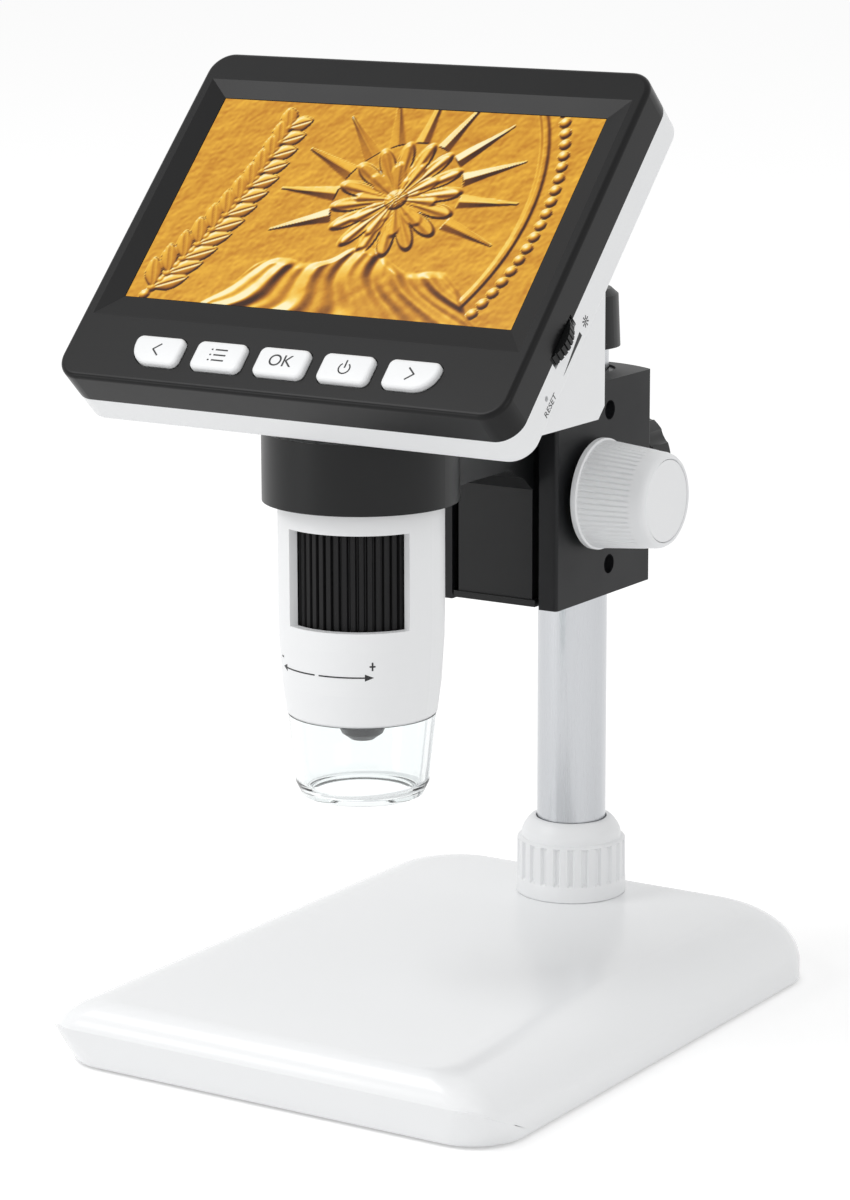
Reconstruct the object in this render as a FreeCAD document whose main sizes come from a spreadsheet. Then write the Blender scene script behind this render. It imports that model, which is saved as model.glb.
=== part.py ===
import FreeCAD, Part
import math
import os
import Sketcher

os.makedirs("parts", exist_ok=True)
doc = FreeCAD.newDocument("lcd_microscope")
sheet = doc.addObject("Spreadsheet::Sheet", "sizes")
Vector = FreeCAD.Vector
rows = []
subparts = []


class Size:
    """A length or an angle, with the sheet expression that gives it."""

    def __init__(self, value, text):
        self.value = float(value)
        self.text = text

    def __add__(self, other):
        other = as_size(other)
        return Size(self.value + other.value, f"({self.text} + {other.text})")

    def __sub__(self, other):
        other = as_size(other)
        return Size(self.value - other.value, f"({self.text} - {other.text})")

    def __mul__(self, factor):
        factor = as_size(factor)
        return Size(self.value * factor.value, f"({self.text} * {factor.text})")

    def __truediv__(self, factor):
        factor = as_size(factor)
        return Size(self.value / factor.value, f"({self.text} / {factor.text})")

    def __neg__(self):
        return Size(-self.value, f"(0 - {self.text})")

    def __radd__(self, other):
        return as_size(other) + self

    def __rsub__(self, other):
        return as_size(other) - self


def as_size(number):
    return number if isinstance(number, Size) else Size(number, repr(float(number)))


def size(alias, value):
    """One row of the sheet: its name, its number and its alias."""
    rows.append(alias)
    sheet.set(f"A{len(rows)}", alias)
    sheet.set(f"B{len(rows)}", str(value))
    sheet.setAlias(f"B{len(rows)}", alias)
    return Size(value, f"sizes.{alias}")


def tangent(angle):
    return Size(math.tan(math.radians(angle.value)), f"tan({angle.text} * 1 deg)")


def cosine(angle):
    return Size(math.cos(math.radians(angle.value)), f"cos({angle.text} * 1 deg)")


# Base: a flat desk foot, moulded shell on a bottom tray, with a steel weight inside
base_half_width = size("base_half_width", 56.0)
base_front = size("base_front", -75.0)
base_back = size("base_back", 75.0)
base_top = size("base_top", 16.0)
base_corner_front = size("base_corner_front", 7.0)
base_corner_back = size("base_corner_back", 15.0)
pad_stand = size("pad_stand", 0.8)
pad_recess = size("pad_recess", 0.4)
pad_inset = size("pad_inset", 7.0)
tray_floor = size("tray_floor", 1.4)
band_top = size("band_top", 9.8)
band_slope = size("band_slope", 3.7)
band_run = size("band_run", 17.0)
band_lip = size("band_lip", 1.2)
band_corner = size("band_corner", 12.0)
side_roll_start = size("side_roll_start", 4.4)
side_roll_depth = size("side_roll_depth", 15.0)
back_roll_depth = size("back_roll_depth", 8.0)
front_roll_depth = size("front_roll_depth", 5.5)
ballast_half_width = size("ballast_half_width", 33.0)
ballast_front = size("ballast_front", -55.5)
ballast_back = size("ballast_back", 34.0)
ballast_thick = size("ballast_thick", 6.0)
screw_shank = size("screw_shank", 1.25)
screw_head = size("screw_head", 2.6)
base_screw_x = size("base_screw_x", 38.0)
base_screw_front = size("base_screw_front", -52.0)
base_screw_back = size("base_screw_back", 46.0)

# Column: a steel tube in a threaded socket, held by a ribbed lock collar
column_y = size("column_y", 55.0)
column_radius = size("column_radius", 8.0)
column_wall = size("column_wall", 1.2)
column_top = size("column_top", 156.0)
socket_radius = size("socket_radius", 10.0)
socket_flange = size("socket_flange", 15.0)
socket_flange_thick = size("socket_flange_thick", 3.0)
socket_skin = size("socket_skin", 2.6)
socket_height = size("socket_height", 13.0)
collar_radius = size("collar_radius", 12.8)
collar_height = size("collar_height", 18.0)
collar_rim = size("collar_rim", 3.8)
collar_shoulder = size("collar_shoulder", 13.0)
collar_mouth = size("collar_mouth", 9.2)
cap_grip = size("cap_grip", 11.1)
cap_height = size("cap_height", 13.2)
cap_radius = size("cap_radius", 10.6)
cap_top_radius = size("cap_top_radius", 10.1)
running_gap = size("running_gap", 0.05)
free_gap = size("free_gap", 0.3)

# Focusing block: a black housing that slides on the column and guides the carriage
block_half_width = size("block_half_width", 15.9)
block_front = size("block_front", 20.8)
block_back = size("block_back", 62.5)
block_back_radius = size("block_back_radius", 30.0)
block_bottom = size("block_bottom", 90.7)
block_top = size("block_top", 139.6)
sleeve_radius = size("sleeve_radius", 9.5)
slot_half_width = size("slot_half_width", 11.35)
slot_lip = size("slot_lip", 2.2)
guide_half_width = size("guide_half_width", 13.55)
guide_depth = size("guide_depth", 4.1)
rack_slot_half_width = size("rack_slot_half_width", 4.7)
shaft_y = size("shaft_y", 36.1)
shaft_z = size("shaft_z", 115.2)
shaft_radius = size("shaft_radius", 3.0)
shaft_bore = size("shaft_bore", 7.5)
bush_inner_x = size("bush_inner_x", 5.2)
side_hole_radius = size("side_hole_radius", 2.2)
side_hole_y = size("side_hole_y", 44.0)
side_hole_rise = size("side_hole_rise", 17.6)
side_hole_depth = size("side_hole_depth", 5.0)
boss_radius = size("boss_radius", 8.5)
boss_length = size("boss_length", 2.4)
clamp_screw_radius = size("clamp_screw_radius", 2.5)
clamp_knob_radius = size("clamp_knob_radius", 12.2)
clamp_knob_length = size("clamp_knob_length", 10.5)

# Rack and pinion focusing mechanism
tooth_module = size("tooth_module", 0.8)
pinion_teeth = size("pinion_teeth", 15)
pressure_angle = size("pressure_angle", 25.0)
tooth_backlash = size("tooth_backlash", 0.14)
rack_teeth = size("rack_teeth", 17)
rack_half_width = size("rack_half_width", 4.0)
rack_back = size("rack_back", 2.4)
pinion_half_width = size("pinion_half_width", 4.4)
knob_gap = size("knob_gap", 1.6)
knob_length = size("knob_length", 17.8)
knob_flange_radius = size("knob_flange_radius", 12.5)
knob_flange_thick = size("knob_flange_thick", 1.5)
knob_root_radius = size("knob_root_radius", 12.1)
knob_tip_radius = size("knob_tip_radius", 10.8)
knob_band = size("knob_band", 3.4)
knob_dish_radius = size("knob_dish_radius", 9.3)
knob_dish_depth = size("knob_dish_depth", 0.9)
knob_grooves = size("knob_grooves", 20)
groove_depth = size("groove_depth", 0.6)

# Carriage: slide, arm and ring that hold the head
slide_half_width = size("slide_half_width", 9.6)
flange_half_width = size("flange_half_width", 13.25)
flange_gap = size("flange_gap", 0.3)
flange_thick = size("flange_thick", 3.4)
slide_bottom = size("slide_bottom", 91.3)
slide_top = size("slide_top", 137.4)
slide_lip = size("slide_lip", 1.5)
panel_step = size("panel_step", 0.5)
arm_bottom = size("arm_bottom", 117.6)
arm_top = size("arm_top", 137.0)
ring_radius = size("ring_radius", 20.9)
ring_bore = size("ring_bore", 18.5)
ring_bottom = size("ring_bottom", 123.5)
ring_top = size("ring_top", 138.4)
ring_flare = size("ring_flare", 16.5)

# Head: barrel with the lens and light, under a flat monitor tilted back
barrel_y = size("barrel_y", -33.2)
barrel_radius = size("barrel_radius", 17.65)
barrel_bore = size("barrel_bore", 15.7)
barrel_foot_radius = size("barrel_foot_radius", 16.05)
barrel_bottom = size("barrel_bottom", 77.5)
barrel_taper_low = size("barrel_taper_low", 84.5)
barrel_taper_high = size("barrel_taper_high", 94.0)
barrel_top = size("barrel_top", 146.5)
barrel_floor = size("barrel_floor", 2.0)
window_start = size("window_start", -25.0)
window_sweep = size("window_sweep", 93.0)
window_bottom = size("window_bottom", 98.1)
window_top = size("window_top", 118.8)
wheel_radius = size("wheel_radius", 15.3)
wheel_bore = size("wheel_bore", 12.4)
wheel_margin = size("wheel_margin", 1.3)
wheel_ribs = size("wheel_ribs", 54)
rib_depth = size("rib_depth", 0.7)
lens_flange = size("lens_flange", 10.6)
nose_radius = size("nose_radius", 5.1)
nose_tip_radius = size("nose_tip_radius", 2.6)
nose_shoulder = size("nose_shoulder", 74.4)
nose_tip = size("nose_tip", 71.7)
nose_hole = size("nose_hole", 5.6)
view_cap_top_radius = size("view_cap_top_radius", 15.85)
view_cap_low_radius = size("view_cap_low_radius", 14.43)
view_cap_foot_radius = size("view_cap_foot_radius", 13.24)
view_cap_low = size("view_cap_low", 62.8)
view_cap_foot = size("view_cap_foot", 59.75)
view_cap_wall = size("view_cap_wall", 1.6)
view_cap_hole = size("view_cap_hole", 10.9)
spigot_height = size("spigot_height", 2.4)

# Monitor, in its own frame: X right, Y up the screen, Z out of the screen's glass
screen_tilt = size("screen_tilt", 46.0)
screen_y = size("screen_y", -32.2)
screen_z = size("screen_z", 184.3)
screen_width = size("screen_width", 95.04)
screen_height = size("screen_height", 53.86)
recess_half_width = size("recess_half_width", 52.4)
recess_low = size("recess_low", -32.9)
recess_high = size("recess_high", 31.2)
bezel_half_width = size("bezel_half_width", 55.0)
bezel_low = size("bezel_low", -48.9)
bezel_high = size("bezel_high", 38.7)
bezel_corner = size("bezel_corner", 5.5)
bezel_face = size("bezel_face", 1.2)
bezel_parting = size("bezel_parting", -7.2)
monitor_rear = size("monitor_rear", -14.8)
case_wall = size("case_wall", 2.0)
module_half_width = size("module_half_width", 52.4)
module_low = size("module_low", -35.0)
module_high = size("module_high", 32.2)
module_thick = size("module_thick", 3.0)
wedge_bottom = size("wedge_bottom", 144.2)
wedge_back = size("wedge_back", -24.8)
wedge_inset = size("wedge_inset", 1.0)
tower_radius = size("tower_radius", 19.2)
tower_top = size("tower_top", 175.0)
button_pitch = size("button_pitch", 15.6)
button_row = size("button_row", -41.1)
button_width = size("button_width", 12.2)
button_height = size("button_height", 7.0)
button_proud = size("button_proud", 1.2)
button_gap = size("button_gap", 0.25)
button_travel = size("button_travel", 0.8)
dial_radius = size("dial_radius", 8.5)
dial_proud = size("dial_proud", 1.5)
dial_row = size("dial_row", -23.6)
dial_thick = size("dial_thick", 2.4)
dial_level = size("dial_level", -7.4)
dial_teeth = size("dial_teeth", 40)

FACING = {"XY_Plane": Vector(0, 0, 1), "XZ_Plane": Vector(0, -1, 0), "YZ_Plane": Vector(1, 0, 0)}


def bind(thing, prop, length):
    thing.setExpression(prop, as_size(length).text)


def place(thing, at=(0, 0, 0), tilt=None):
    """Moves a piece to its place, and tips it back with the monitor where tilt is given."""
    spot = [as_size(c) for c in at]
    turn = FreeCAD.Rotation(Vector(1, 0, 0), tilt.value if tilt else 0)
    thing.Placement = FreeCAD.Placement(Vector(*[c.value for c in spot]), turn)
    for letter, length in zip("xyz", spot):
        bind(thing, f"Placement.Base.{letter}", length)
    if tilt:
        bind(thing, "Placement.Rotation.Angle", tilt)
    return thing


def on_monitor(thing):
    return place(thing, (0, screen_y, screen_z), screen_tilt)


def keep(thing, node):
    """Names a finished sub-part, which is written to a file of that name."""
    thing.Label = node
    subparts.append(thing)
    return thing


def sketch_on(body, role, height=0):
    plane = [f for f in body.Origin.OriginFeatures if f.Role == role][0]
    sketch = body.newObject("Sketcher::SketchObject", "sketch")
    sketch.AttachmentSupport = [(plane, "")]
    sketch.MapMode = "FlatFace"
    bind(sketch, "AttachmentOffset.Base.z", height)
    return sketch


def outline(sketch, points):
    """A closed outline, anticlockwise. A third value in a point is the radius of a bulging arc to the next."""
    first = sketch.GeometryCount
    spots = [(as_size(p[0]), as_size(p[1])) for p in points]
    corners = [Vector(x.value, y.value, 0) for x, y in spots]
    count = len(points)
    for i in range(count):
        start, end = corners[i], corners[(i + 1) % count]
        if len(points[i]) < 3:
            sketch.addGeometry(Part.LineSegment(start, end), False)
            continue
        radius = points[i][2].value
        chord = end - start
        rise = math.sqrt(max(radius ** 2 - (chord.Length / 2) ** 2, 0))
        centre = (start + end) * 0.5 + Vector(-chord.y, chord.x, 0).normalize() * rise
        circle = Part.Circle(centre, Vector(0, 0, 1), radius)
        ends = [math.atan2(p.y - centre.y, p.x - centre.x) for p in (start, end)]
        sketch.addGeometry(Part.ArcOfCircle(circle, ends[0], ends[1]), False)
    for i in range(count):
        after = first + (i + 1) % count
        sketch.addConstraint(Sketcher.Constraint("Coincident", first + i, 2, after, 1))
        for kind, length in zip(("DistanceX", "DistanceY"), spots[i]):
            index = sketch.addConstraint(Sketcher.Constraint(kind, -1, 1, first + i, 1, length.value))
            bind(sketch, f"Constraints[{index}]", length)
        if len(points[i]) == 3:
            index = sketch.addConstraint(Sketcher.Constraint("Radius", first + i, points[i][2].value))
            bind(sketch, f"Constraints[{index}]", points[i][2])


def circles(sketch, spots, radius):
    for spot in spots:
        x, y = as_size(spot[0]), as_size(spot[1])
        ring = sketch.addGeometry(Part.Circle(Vector(x.value, y.value, 0), Vector(0, 0, 1), radius.value), False)
        for kind, length in zip(("DistanceX", "DistanceY"), (x, y)):
            index = sketch.addConstraint(Sketcher.Constraint(kind, -1, 1, ring, 3, length.value))
            bind(sketch, f"Constraints[{index}]", length)
        index = sketch.addConstraint(Sketcher.Constraint("Radius", ring, radius.value))
        bind(sketch, f"Constraints[{index}]", radius)


def new_body(name):
    return doc.addObject("PartDesign::Body", name)


def pad(body, sketch, length, both=False):
    feature = body.newObject("PartDesign::Pad", "pad")
    feature.Profile = sketch
    feature.SideType = "Symmetric" if both else "One side"
    bind(feature, "Length", length)
    doc.recompute()
    return feature


def pocket(body, sketch, length, both=False, reverse=False):
    """Cuts away from the sketch, against its facing, or along it where reverse is set."""
    before = body.Tip.Shape.Volume
    feature = body.newObject("PartDesign::Pocket", "pocket")
    feature.Profile = sketch
    feature.SideType = "Symmetric" if both else "One side"
    feature.Reversed = reverse
    bind(feature, "Length", length)
    doc.recompute()
    if not feature.Shape.Volume < before:
        raise RuntimeError(f"a pocket of {body.Label} cuts nothing")
    return feature


def turn(body, sketch, kind="PartDesign::Revolution", axis="V_Axis"):
    feature = body.newObject(kind, "turned")
    feature.Profile = sketch
    feature.ReferenceAxis = (sketch, [axis])
    feature.Angle = 360
    doc.recompute()
    return feature


def turned(name, points, axis="V_Axis"):
    """A body turned about the vertical line, or about the X line, from its half outline."""
    body = new_body(name)
    sketch = sketch_on(body, "XZ_Plane")
    outline(sketch, points)
    turn(body, sketch, axis=axis)
    return body


def prism(name, role, points, low, high):
    """An outline raised along the plane's facing direction, from low to high."""
    body = new_body(name)
    low, high = as_size(low), as_size(high)
    height = -high if role == "XZ_Plane" else low
    sketch = sketch_on(body, role, height)
    outline(sketch, points)
    pad(body, sketch, high - low)
    return body


def rectangle(x0, x1, y0, y1):
    return [(x0, y0), (x1, y0), (x1, y1), (x0, y1)]


def long_edges(shape, direction):
    """The straight edges of a shape that run along a direction."""
    names = []
    for number, edge in enumerate(shape.Edges, 1):
        if edge.Curve.TypeId != "Part::GeomLine":
            continue
        if abs(edge.tangentAt(edge.FirstParameter).dot(direction)) > 0.999:
            names.append(f"Edge{number}")
    return names


def fillet(body, names, radius):
    base = body.Tip
    feature = body.newObject("PartDesign::Fillet", "fillet")
    feature.Base = (base, names)
    bind(feature, "Radius", radius)
    doc.recompute()
    return feature


def bevel_rim(body, names, width):
    base = body.Tip
    feature = body.newObject("PartDesign::Chamfer", "chamfer")
    feature.Base = (base, names)
    bind(feature, "Size", width)
    doc.recompute()
    return feature


def slab(name, x0, x1, y0, y1, low, high, corner):
    """A flat plate with rounded corners."""
    body = prism(name, "XY_Plane", rectangle(x0, x1, y0, y1), low, high)
    fillet(body, long_edges(body.Shape, Vector(0, 0, 1)), corner)
    return body


def polar(body, feature, count, axis_name):
    sketch = feature.Profile[0]
    pattern = body.newObject("PartDesign::PolarPattern", "pattern")
    pattern.Originals = [feature]
    pattern.Axis = (sketch, [axis_name])
    pattern.Angle = 360
    bind(pattern, "Occurrences", count)
    body.Tip = pattern
    doc.recompute()
    return pattern


def box(name, x0, x1, y0, y1, z0, z1):
    piece = doc.addObject("Part::Box", name)
    lows = [as_size(c) for c in (x0, y0, z0)]
    highs = [as_size(c) for c in (x1, y1, z1)]
    for prop, low, high in zip(("Length", "Width", "Height"), lows, highs):
        bind(piece, prop, high - low)
    return place(piece, lows)


def rod(name, radius, x, y, z, length, axis="Z"):
    """A round bar from a point, along +X, +Y or +Z."""
    piece = doc.addObject("Part::Cylinder", name)
    bind(piece, "Radius", radius)
    bind(piece, "Height", length)
    place(piece, (x, y, z))
    turns = {"X": (Vector(0, 1, 0), 90), "Y": (Vector(1, 0, 0), -90), "Z": (Vector(0, 0, 1), 0)}
    piece.Placement = FreeCAD.Placement(piece.Placement.Base, FreeCAD.Rotation(*turns[axis]))
    return piece


def cut(name, base, tool):
    piece = doc.addObject("Part::Cut", name)
    piece.Base = base
    piece.Tool = tool
    return piece


def fuse(name, pieces):
    piece = doc.addObject("Part::MultiFuse", name)
    piece.Shapes = pieces
    return piece


def group(name, pieces):
    """Separate solids of one kind, kept as one sub-part."""
    piece = doc.addObject("Part::Compound", name)
    piece.Links = pieces
    return piece


def overlap(name, pieces):
    piece = doc.addObject("Part::MultiCommon", name)
    piece.Shapes = pieces
    return piece


# Outline of the base in plan, drawn with arcs at its four corners
def base_outline(sketch, side_in, front_in, back_in, shrink, near=None):
    x = base_half_width - side_in
    front = base_front + front_in
    back = base_back - back_in
    near = near or base_corner_front * shrink
    far = base_corner_back * shrink
    points = [(x - near, front, near), (x, front + near), (x, back - far, far), (x - far, back),
              (far - x, back, far), (-x, back - far), (-x, front + near, near), (near - x, front)]
    outline(sketch, points)


tray_top = pad_stand + tray_floor


# The band: the tray's front wall, which leans in towards the desk and ends in a sweep along each side
def tray_side(spare):
    """What lies under the parting line, seen from the side, with spare room round the outline."""
    return [(base_front - spare, pad_stand - spare), (base_back + spare, pad_stand - spare),
            (base_back + spare, tray_top), (base_front + band_run, tray_top), (base_front + band_lip, band_top),
            (base_front - spare, band_top)]


# base_shell: the white upper moulding, with soft rolled sides
rolled = new_body("rolled_shell")
lower = sketch_on(rolled, "XY_Plane", tray_top)
base_outline(lower, 0, 0, 0, 1)
pad(rolled, lower, side_roll_start - tray_top)
ROLL_STEPS = 5
sections = []
for step in range(ROLL_STEPS):
    lean = math.pi / 2 * step / (ROLL_STEPS - 1)
    roll_height = base_top - side_roll_start
    level = side_roll_start + roll_height * math.sin(lean)
    share = max(0.0, (level.value - band_top.value) / (base_top.value - band_top.value))
    front_share = 1 - math.sqrt(max(0.0, 1 - share ** 2))
    side_share = 1 - math.cos(lean)
    section = sketch_on(rolled, "XY_Plane", level)
    base_outline(section, side_roll_depth * side_share, front_roll_depth * front_share,
                 back_roll_depth * side_share, 1 - 0.45 * side_share)
    sections.append(section)
loft = rolled.newObject("PartDesign::AdditiveLoft", "roll")
loft.Profile = sections[0]
loft.Sections = sections[1:]
loft.Ruled = True
doc.recompute()
screw_spots = [(x, y) for x in (base_screw_x, -base_screw_x) for y in (base_screw_front, base_screw_back)]
socket_top = base_top - socket_skin
ballast_top = tray_top + ballast_thick
shell_tools = [
    prism("band_space", "YZ_Plane", tray_side(as_size(1)), -base_half_width - 1, base_half_width + 1),
    box("ballast_space", -ballast_half_width - 0.4, ballast_half_width + 0.4, ballast_front - 0.4,
        ballast_back + 0.4, tray_top, ballast_top),
    rod("flange_space", socket_flange + 0.2, 0, column_y, tray_top, socket_top - tray_top),
    rod("neck_space", socket_radius + 0.1, 0, column_y, tray_top, base_top)]
shell_tools += [rod("screw_pilot", screw_shank, x, y, tray_top, 7) for x, y in screw_spots]
keep(cut("shell_cut", rolled, fuse("shell_spaces", shell_tools)), "base_shell")

# base_tray: bottom plate and front band, with a recess for the non-slip pad
tray_plan = new_body("tray_plan")
tray_foot = sketch_on(tray_plan, "XY_Plane", pad_stand)
base_outline(tray_foot, 0, band_slope, 0, 1, band_corner)
tray_crest = sketch_on(tray_plan, "XY_Plane", band_top)
base_outline(tray_crest, 0, 0, 0, 1)
tray_loft = tray_plan.newObject("PartDesign::AdditiveLoft", "lean")
tray_loft.Profile = tray_foot
tray_loft.Sections = [tray_crest]
tray_loft.Ruled = True
doc.recompute()
tray_blank = overlap("tray_blank", [tray_plan, prism("tray_profile", "YZ_Plane", tray_side(as_size(1)),
                                                     -base_half_width - 1, base_half_width + 1)])
pad_edges = (-base_half_width + pad_inset, base_half_width - pad_inset,
             base_front + band_slope + pad_inset, base_back - pad_inset)
tray_tools = [slab("pad_space", *pad_edges, pad_stand - 1, pad_stand + pad_recess, base_corner_front)]
for x, y in screw_spots:
    tray_tools.append(rod("screw_way", screw_shank, x, y, pad_stand - 1, 6))
    tray_tools.append(rod("head_way", screw_head, x, y, pad_stand - 1, pad_recess + 1.6))
keep(cut("tray_cut", tray_blank, fuse("tray_spaces", tray_tools)), "base_tray")

keep(slab("pad_sheet", *pad_edges, 0, pad_stand + pad_recess, base_corner_front), "non_slip_pad")
keep(slab("weight", -ballast_half_width, ballast_half_width, ballast_front, ballast_back, tray_top, ballast_top,
          as_size(3)), "ballast_plate")
screws = []
for x, y in screw_spots:
    screws.append(fuse("base_screw", [rod("head", screw_head, x, y, pad_stand + pad_recess, 0.6),
                                      rod("shank", screw_shank, x, y, pad_stand + pad_recess, 6.8)]))
keep(group("base_screw_set", screws), "base_screws")

# post_socket: flanged sleeve under the shell whose neck stands up through it
socket_foot = socket_top - socket_flange_thick
socket_body = turned("socket", [(column_radius, socket_foot), (socket_flange, socket_foot),
                                (socket_flange, socket_top), (socket_radius, socket_top),
                                (socket_radius, base_top + socket_height), (column_radius, base_top + socket_height)])
keep(place(socket_body, (0, column_y, 0)), "post_socket")

# column_tube: bright steel tube, closed below by the tray
column_foot = tray_top + 0.2
tube = turned("tube", [(column_radius - column_wall, column_foot), (column_radius, column_foot),
                       (column_radius, column_top), (column_radius - column_wall, column_top)])
keep(place(tube, (0, column_y, 0)), "column_tube")
cap_foot = column_top - cap_grip
cap_top = cap_foot + cap_height
cap_body = turned("cap", [(0, column_top), (column_radius, column_top), (column_radius, cap_foot),
                          (cap_radius, cap_foot), (cap_top_radius, cap_top - 1.4),
                          (cap_top_radius - 1.6, cap_top), (0, cap_top)])
keep(place(cap_body, (0, column_y, 0)), "column_cap")

# lock_collar: ribbed nut that closes the socket's neck on the column
collar_bottom = base_top + running_gap
collar_bore = socket_radius + 0.1
collar_neck = base_top + socket_height + free_gap
collar_top = collar_bottom + collar_height
collar_body = turned("collar", [(collar_bore, collar_bottom), (collar_radius, collar_bottom),
                                (collar_radius, collar_bottom + collar_rim),
                                (collar_radius - 0.1, collar_bottom + collar_shoulder),
                                (collar_radius - 1.3, collar_bottom + collar_shoulder + 1.8),
                                (collar_mouth - 0.2, collar_top),
                                (column_radius + free_gap, collar_top), (column_radius + free_gap, collar_neck),
                                (collar_bore, collar_neck)])
nick = sketch_on(collar_body, "XY_Plane", collar_bottom + collar_shoulder - 0.4)
outline(nick, [(collar_radius - 0.8, 0), (collar_radius + 1, -1.0), (collar_radius + 1, 1.0)])
nick_cut = pocket(collar_body, nick, collar_shoulder - collar_rim - 0.4)
polar(collar_body, nick_cut, 24, "N_Axis")
keep(place(collar_body, (0, column_y, 0)), "lock_collar")

# height_sleeve: plastic liner between the column and the block
sleeve = turned("sleeve", [(column_radius + running_gap, block_bottom + 0.5), (sleeve_radius, block_bottom + 0.5),
                           (sleeve_radius, block_top - 0.5), (column_radius + running_gap, block_top - 0.5)])
keep(place(sleeve, (0, column_y, 0)), "height_sleeve")

# block_housing: machined body with a T slot for the slide, open at the front
block_body = prism("housing", "XY_Plane", [(-block_half_width, block_front), (block_half_width, block_front),
                                           (block_half_width, block_back, block_back_radius),
                                           (-block_half_width, block_back)], block_bottom, block_top)
fillet(block_body, long_edges(block_body.Shape, Vector(0, 0, 1)), as_size(0.8))
lip_back = block_front + slot_lip
guide_back = lip_back + guide_depth
pitch_line = shaft_y - tooth_module * pinion_teeth / 2
rack_space = pitch_line + tooth_module + 0.5
slot = sketch_on(block_body, "XY_Plane", block_top)
outline(slot, [(-slot_half_width, block_front - 1), (slot_half_width, block_front - 1), (slot_half_width, lip_back),
               (guide_half_width, lip_back), (guide_half_width, guide_back), (rack_slot_half_width, guide_back),
               (rack_slot_half_width, rack_space), (-rack_slot_half_width, rack_space),
               (-rack_slot_half_width, guide_back), (-guide_half_width, guide_back), (-guide_half_width, lip_back),
               (-slot_half_width, lip_back)])
pocket(block_body, slot, block_top - block_bottom)
bore = sketch_on(block_body, "XY_Plane", block_top)
circles(bore, [(0, column_y)], sleeve_radius + running_gap)
pocket(block_body, bore, block_top - block_bottom)
cross = sketch_on(block_body, "YZ_Plane")
circles(cross, [(shaft_y, shaft_z)], shaft_bore)
pocket(block_body, cross, block_half_width * 2 + 2, both=True)
for side in (1, -1):
    holes = sketch_on(block_body, "YZ_Plane", block_half_width * side)
    circles(holes, [(side_hole_y, shaft_z + side_hole_rise), (side_hole_y, shaft_z - side_hole_rise)],
            side_hole_radius)
    pocket(block_body, holes, side_hole_depth, reverse=(side < 0))
arc_rise = block_back_radius.value - math.sqrt(block_back_radius.value ** 2 - block_half_width.value ** 2)
block_rear = block_back + arc_rise
boss = rod("clamp_boss", boss_radius, 0, block_rear - 2.2, shaft_z, boss_length + 2.2, "Y")
boss_way = rod("boss_bore", sleeve_radius + running_gap, 0, column_y, block_bottom, block_top - block_bottom)
thread_way = rod("thread_way", clamp_screw_radius + running_gap, 0, column_y, shaft_z,
                 block_rear + boss_length - column_y + 1, "Y")
housing_full = fuse("housing_full", [block_body, boss])
keep(cut("housing_cut", housing_full, fuse("clamp_ways", [boss_way, thread_way])), "block_housing")

# side_screws: socket screws sunk in the block's flanks
screws = []
for side in (1, -1):
    for rise in (side_hole_rise, -side_hole_rise):
        head_x = block_half_width - side_hole_depth
        start = head_x if side > 0 else -head_x - 2.4
        head = rod("screw_head", side_hole_radius, start, side_hole_y, shaft_z + rise, 2.4, "X")
        socket_x = head_x + 1.2 if side > 0 else -head_x - 2.5
        hexagon = rod("hex_socket", as_size(1.2), socket_x, side_hole_y, shaft_z + rise, 1.3, "X")
        screws.append(cut("side_screw", head, hexagon))
keep(group("side_screw_set", screws), "side_screws")

# shaft_bushes: brass discs that carry the pinion shaft in the cross bore
bushes = []
for side in (1, -1):
    start = bush_inner_x if side > 0 else -block_half_width
    disc = rod("bush_disc", shaft_bore, start, shaft_y, shaft_z, block_half_width - bush_inner_x, "X")
    way = rod("bush_way", shaft_radius + running_gap, -block_half_width - 1, shaft_y, shaft_z,
              block_half_width * 2 + 2, "X")
    bushes.append(cut("shaft_bush", disc, way))
keep(group("bush_pair", bushes), "shaft_bushes")

# clamp_knob and clamp_screw: lock the block's height from behind
screw_tip = column_y + sleeve_radius + free_gap
clamp_face = block_rear + boss_length + free_gap
clamp_end = clamp_face + clamp_knob_length
keep(rod("clamp_stud", clamp_screw_radius, 0, screw_tip, shaft_z, clamp_end - 2 - screw_tip, "Y"), "clamp_screw")
grip = turned("grip", [(clamp_screw_radius, clamp_face), (boss_radius, clamp_face),
                       (clamp_knob_radius, clamp_face + 2.2), (clamp_knob_radius, clamp_end - 1),
                       (clamp_knob_radius - 1, clamp_end), (0, clamp_end), (0, clamp_end - 2),
                       (clamp_screw_radius, clamp_end - 2)])
flute = sketch_on(grip, "XY_Plane", clamp_end + 1)
circles(flute, [(clamp_knob_radius + 1.2, 0)], as_size(2.2))
flute_cut = pocket(grip, flute, clamp_knob_length - 1)
polar(grip, flute_cut, 12, "N_Axis")
grip.Placement = FreeCAD.Placement(Vector(0, 0, shaft_z.value), FreeCAD.Rotation(Vector(1, 0, 0), -90))
bind(grip, "Placement.Base.z", shaft_z)
keep(grip, "clamp_knob")

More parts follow.
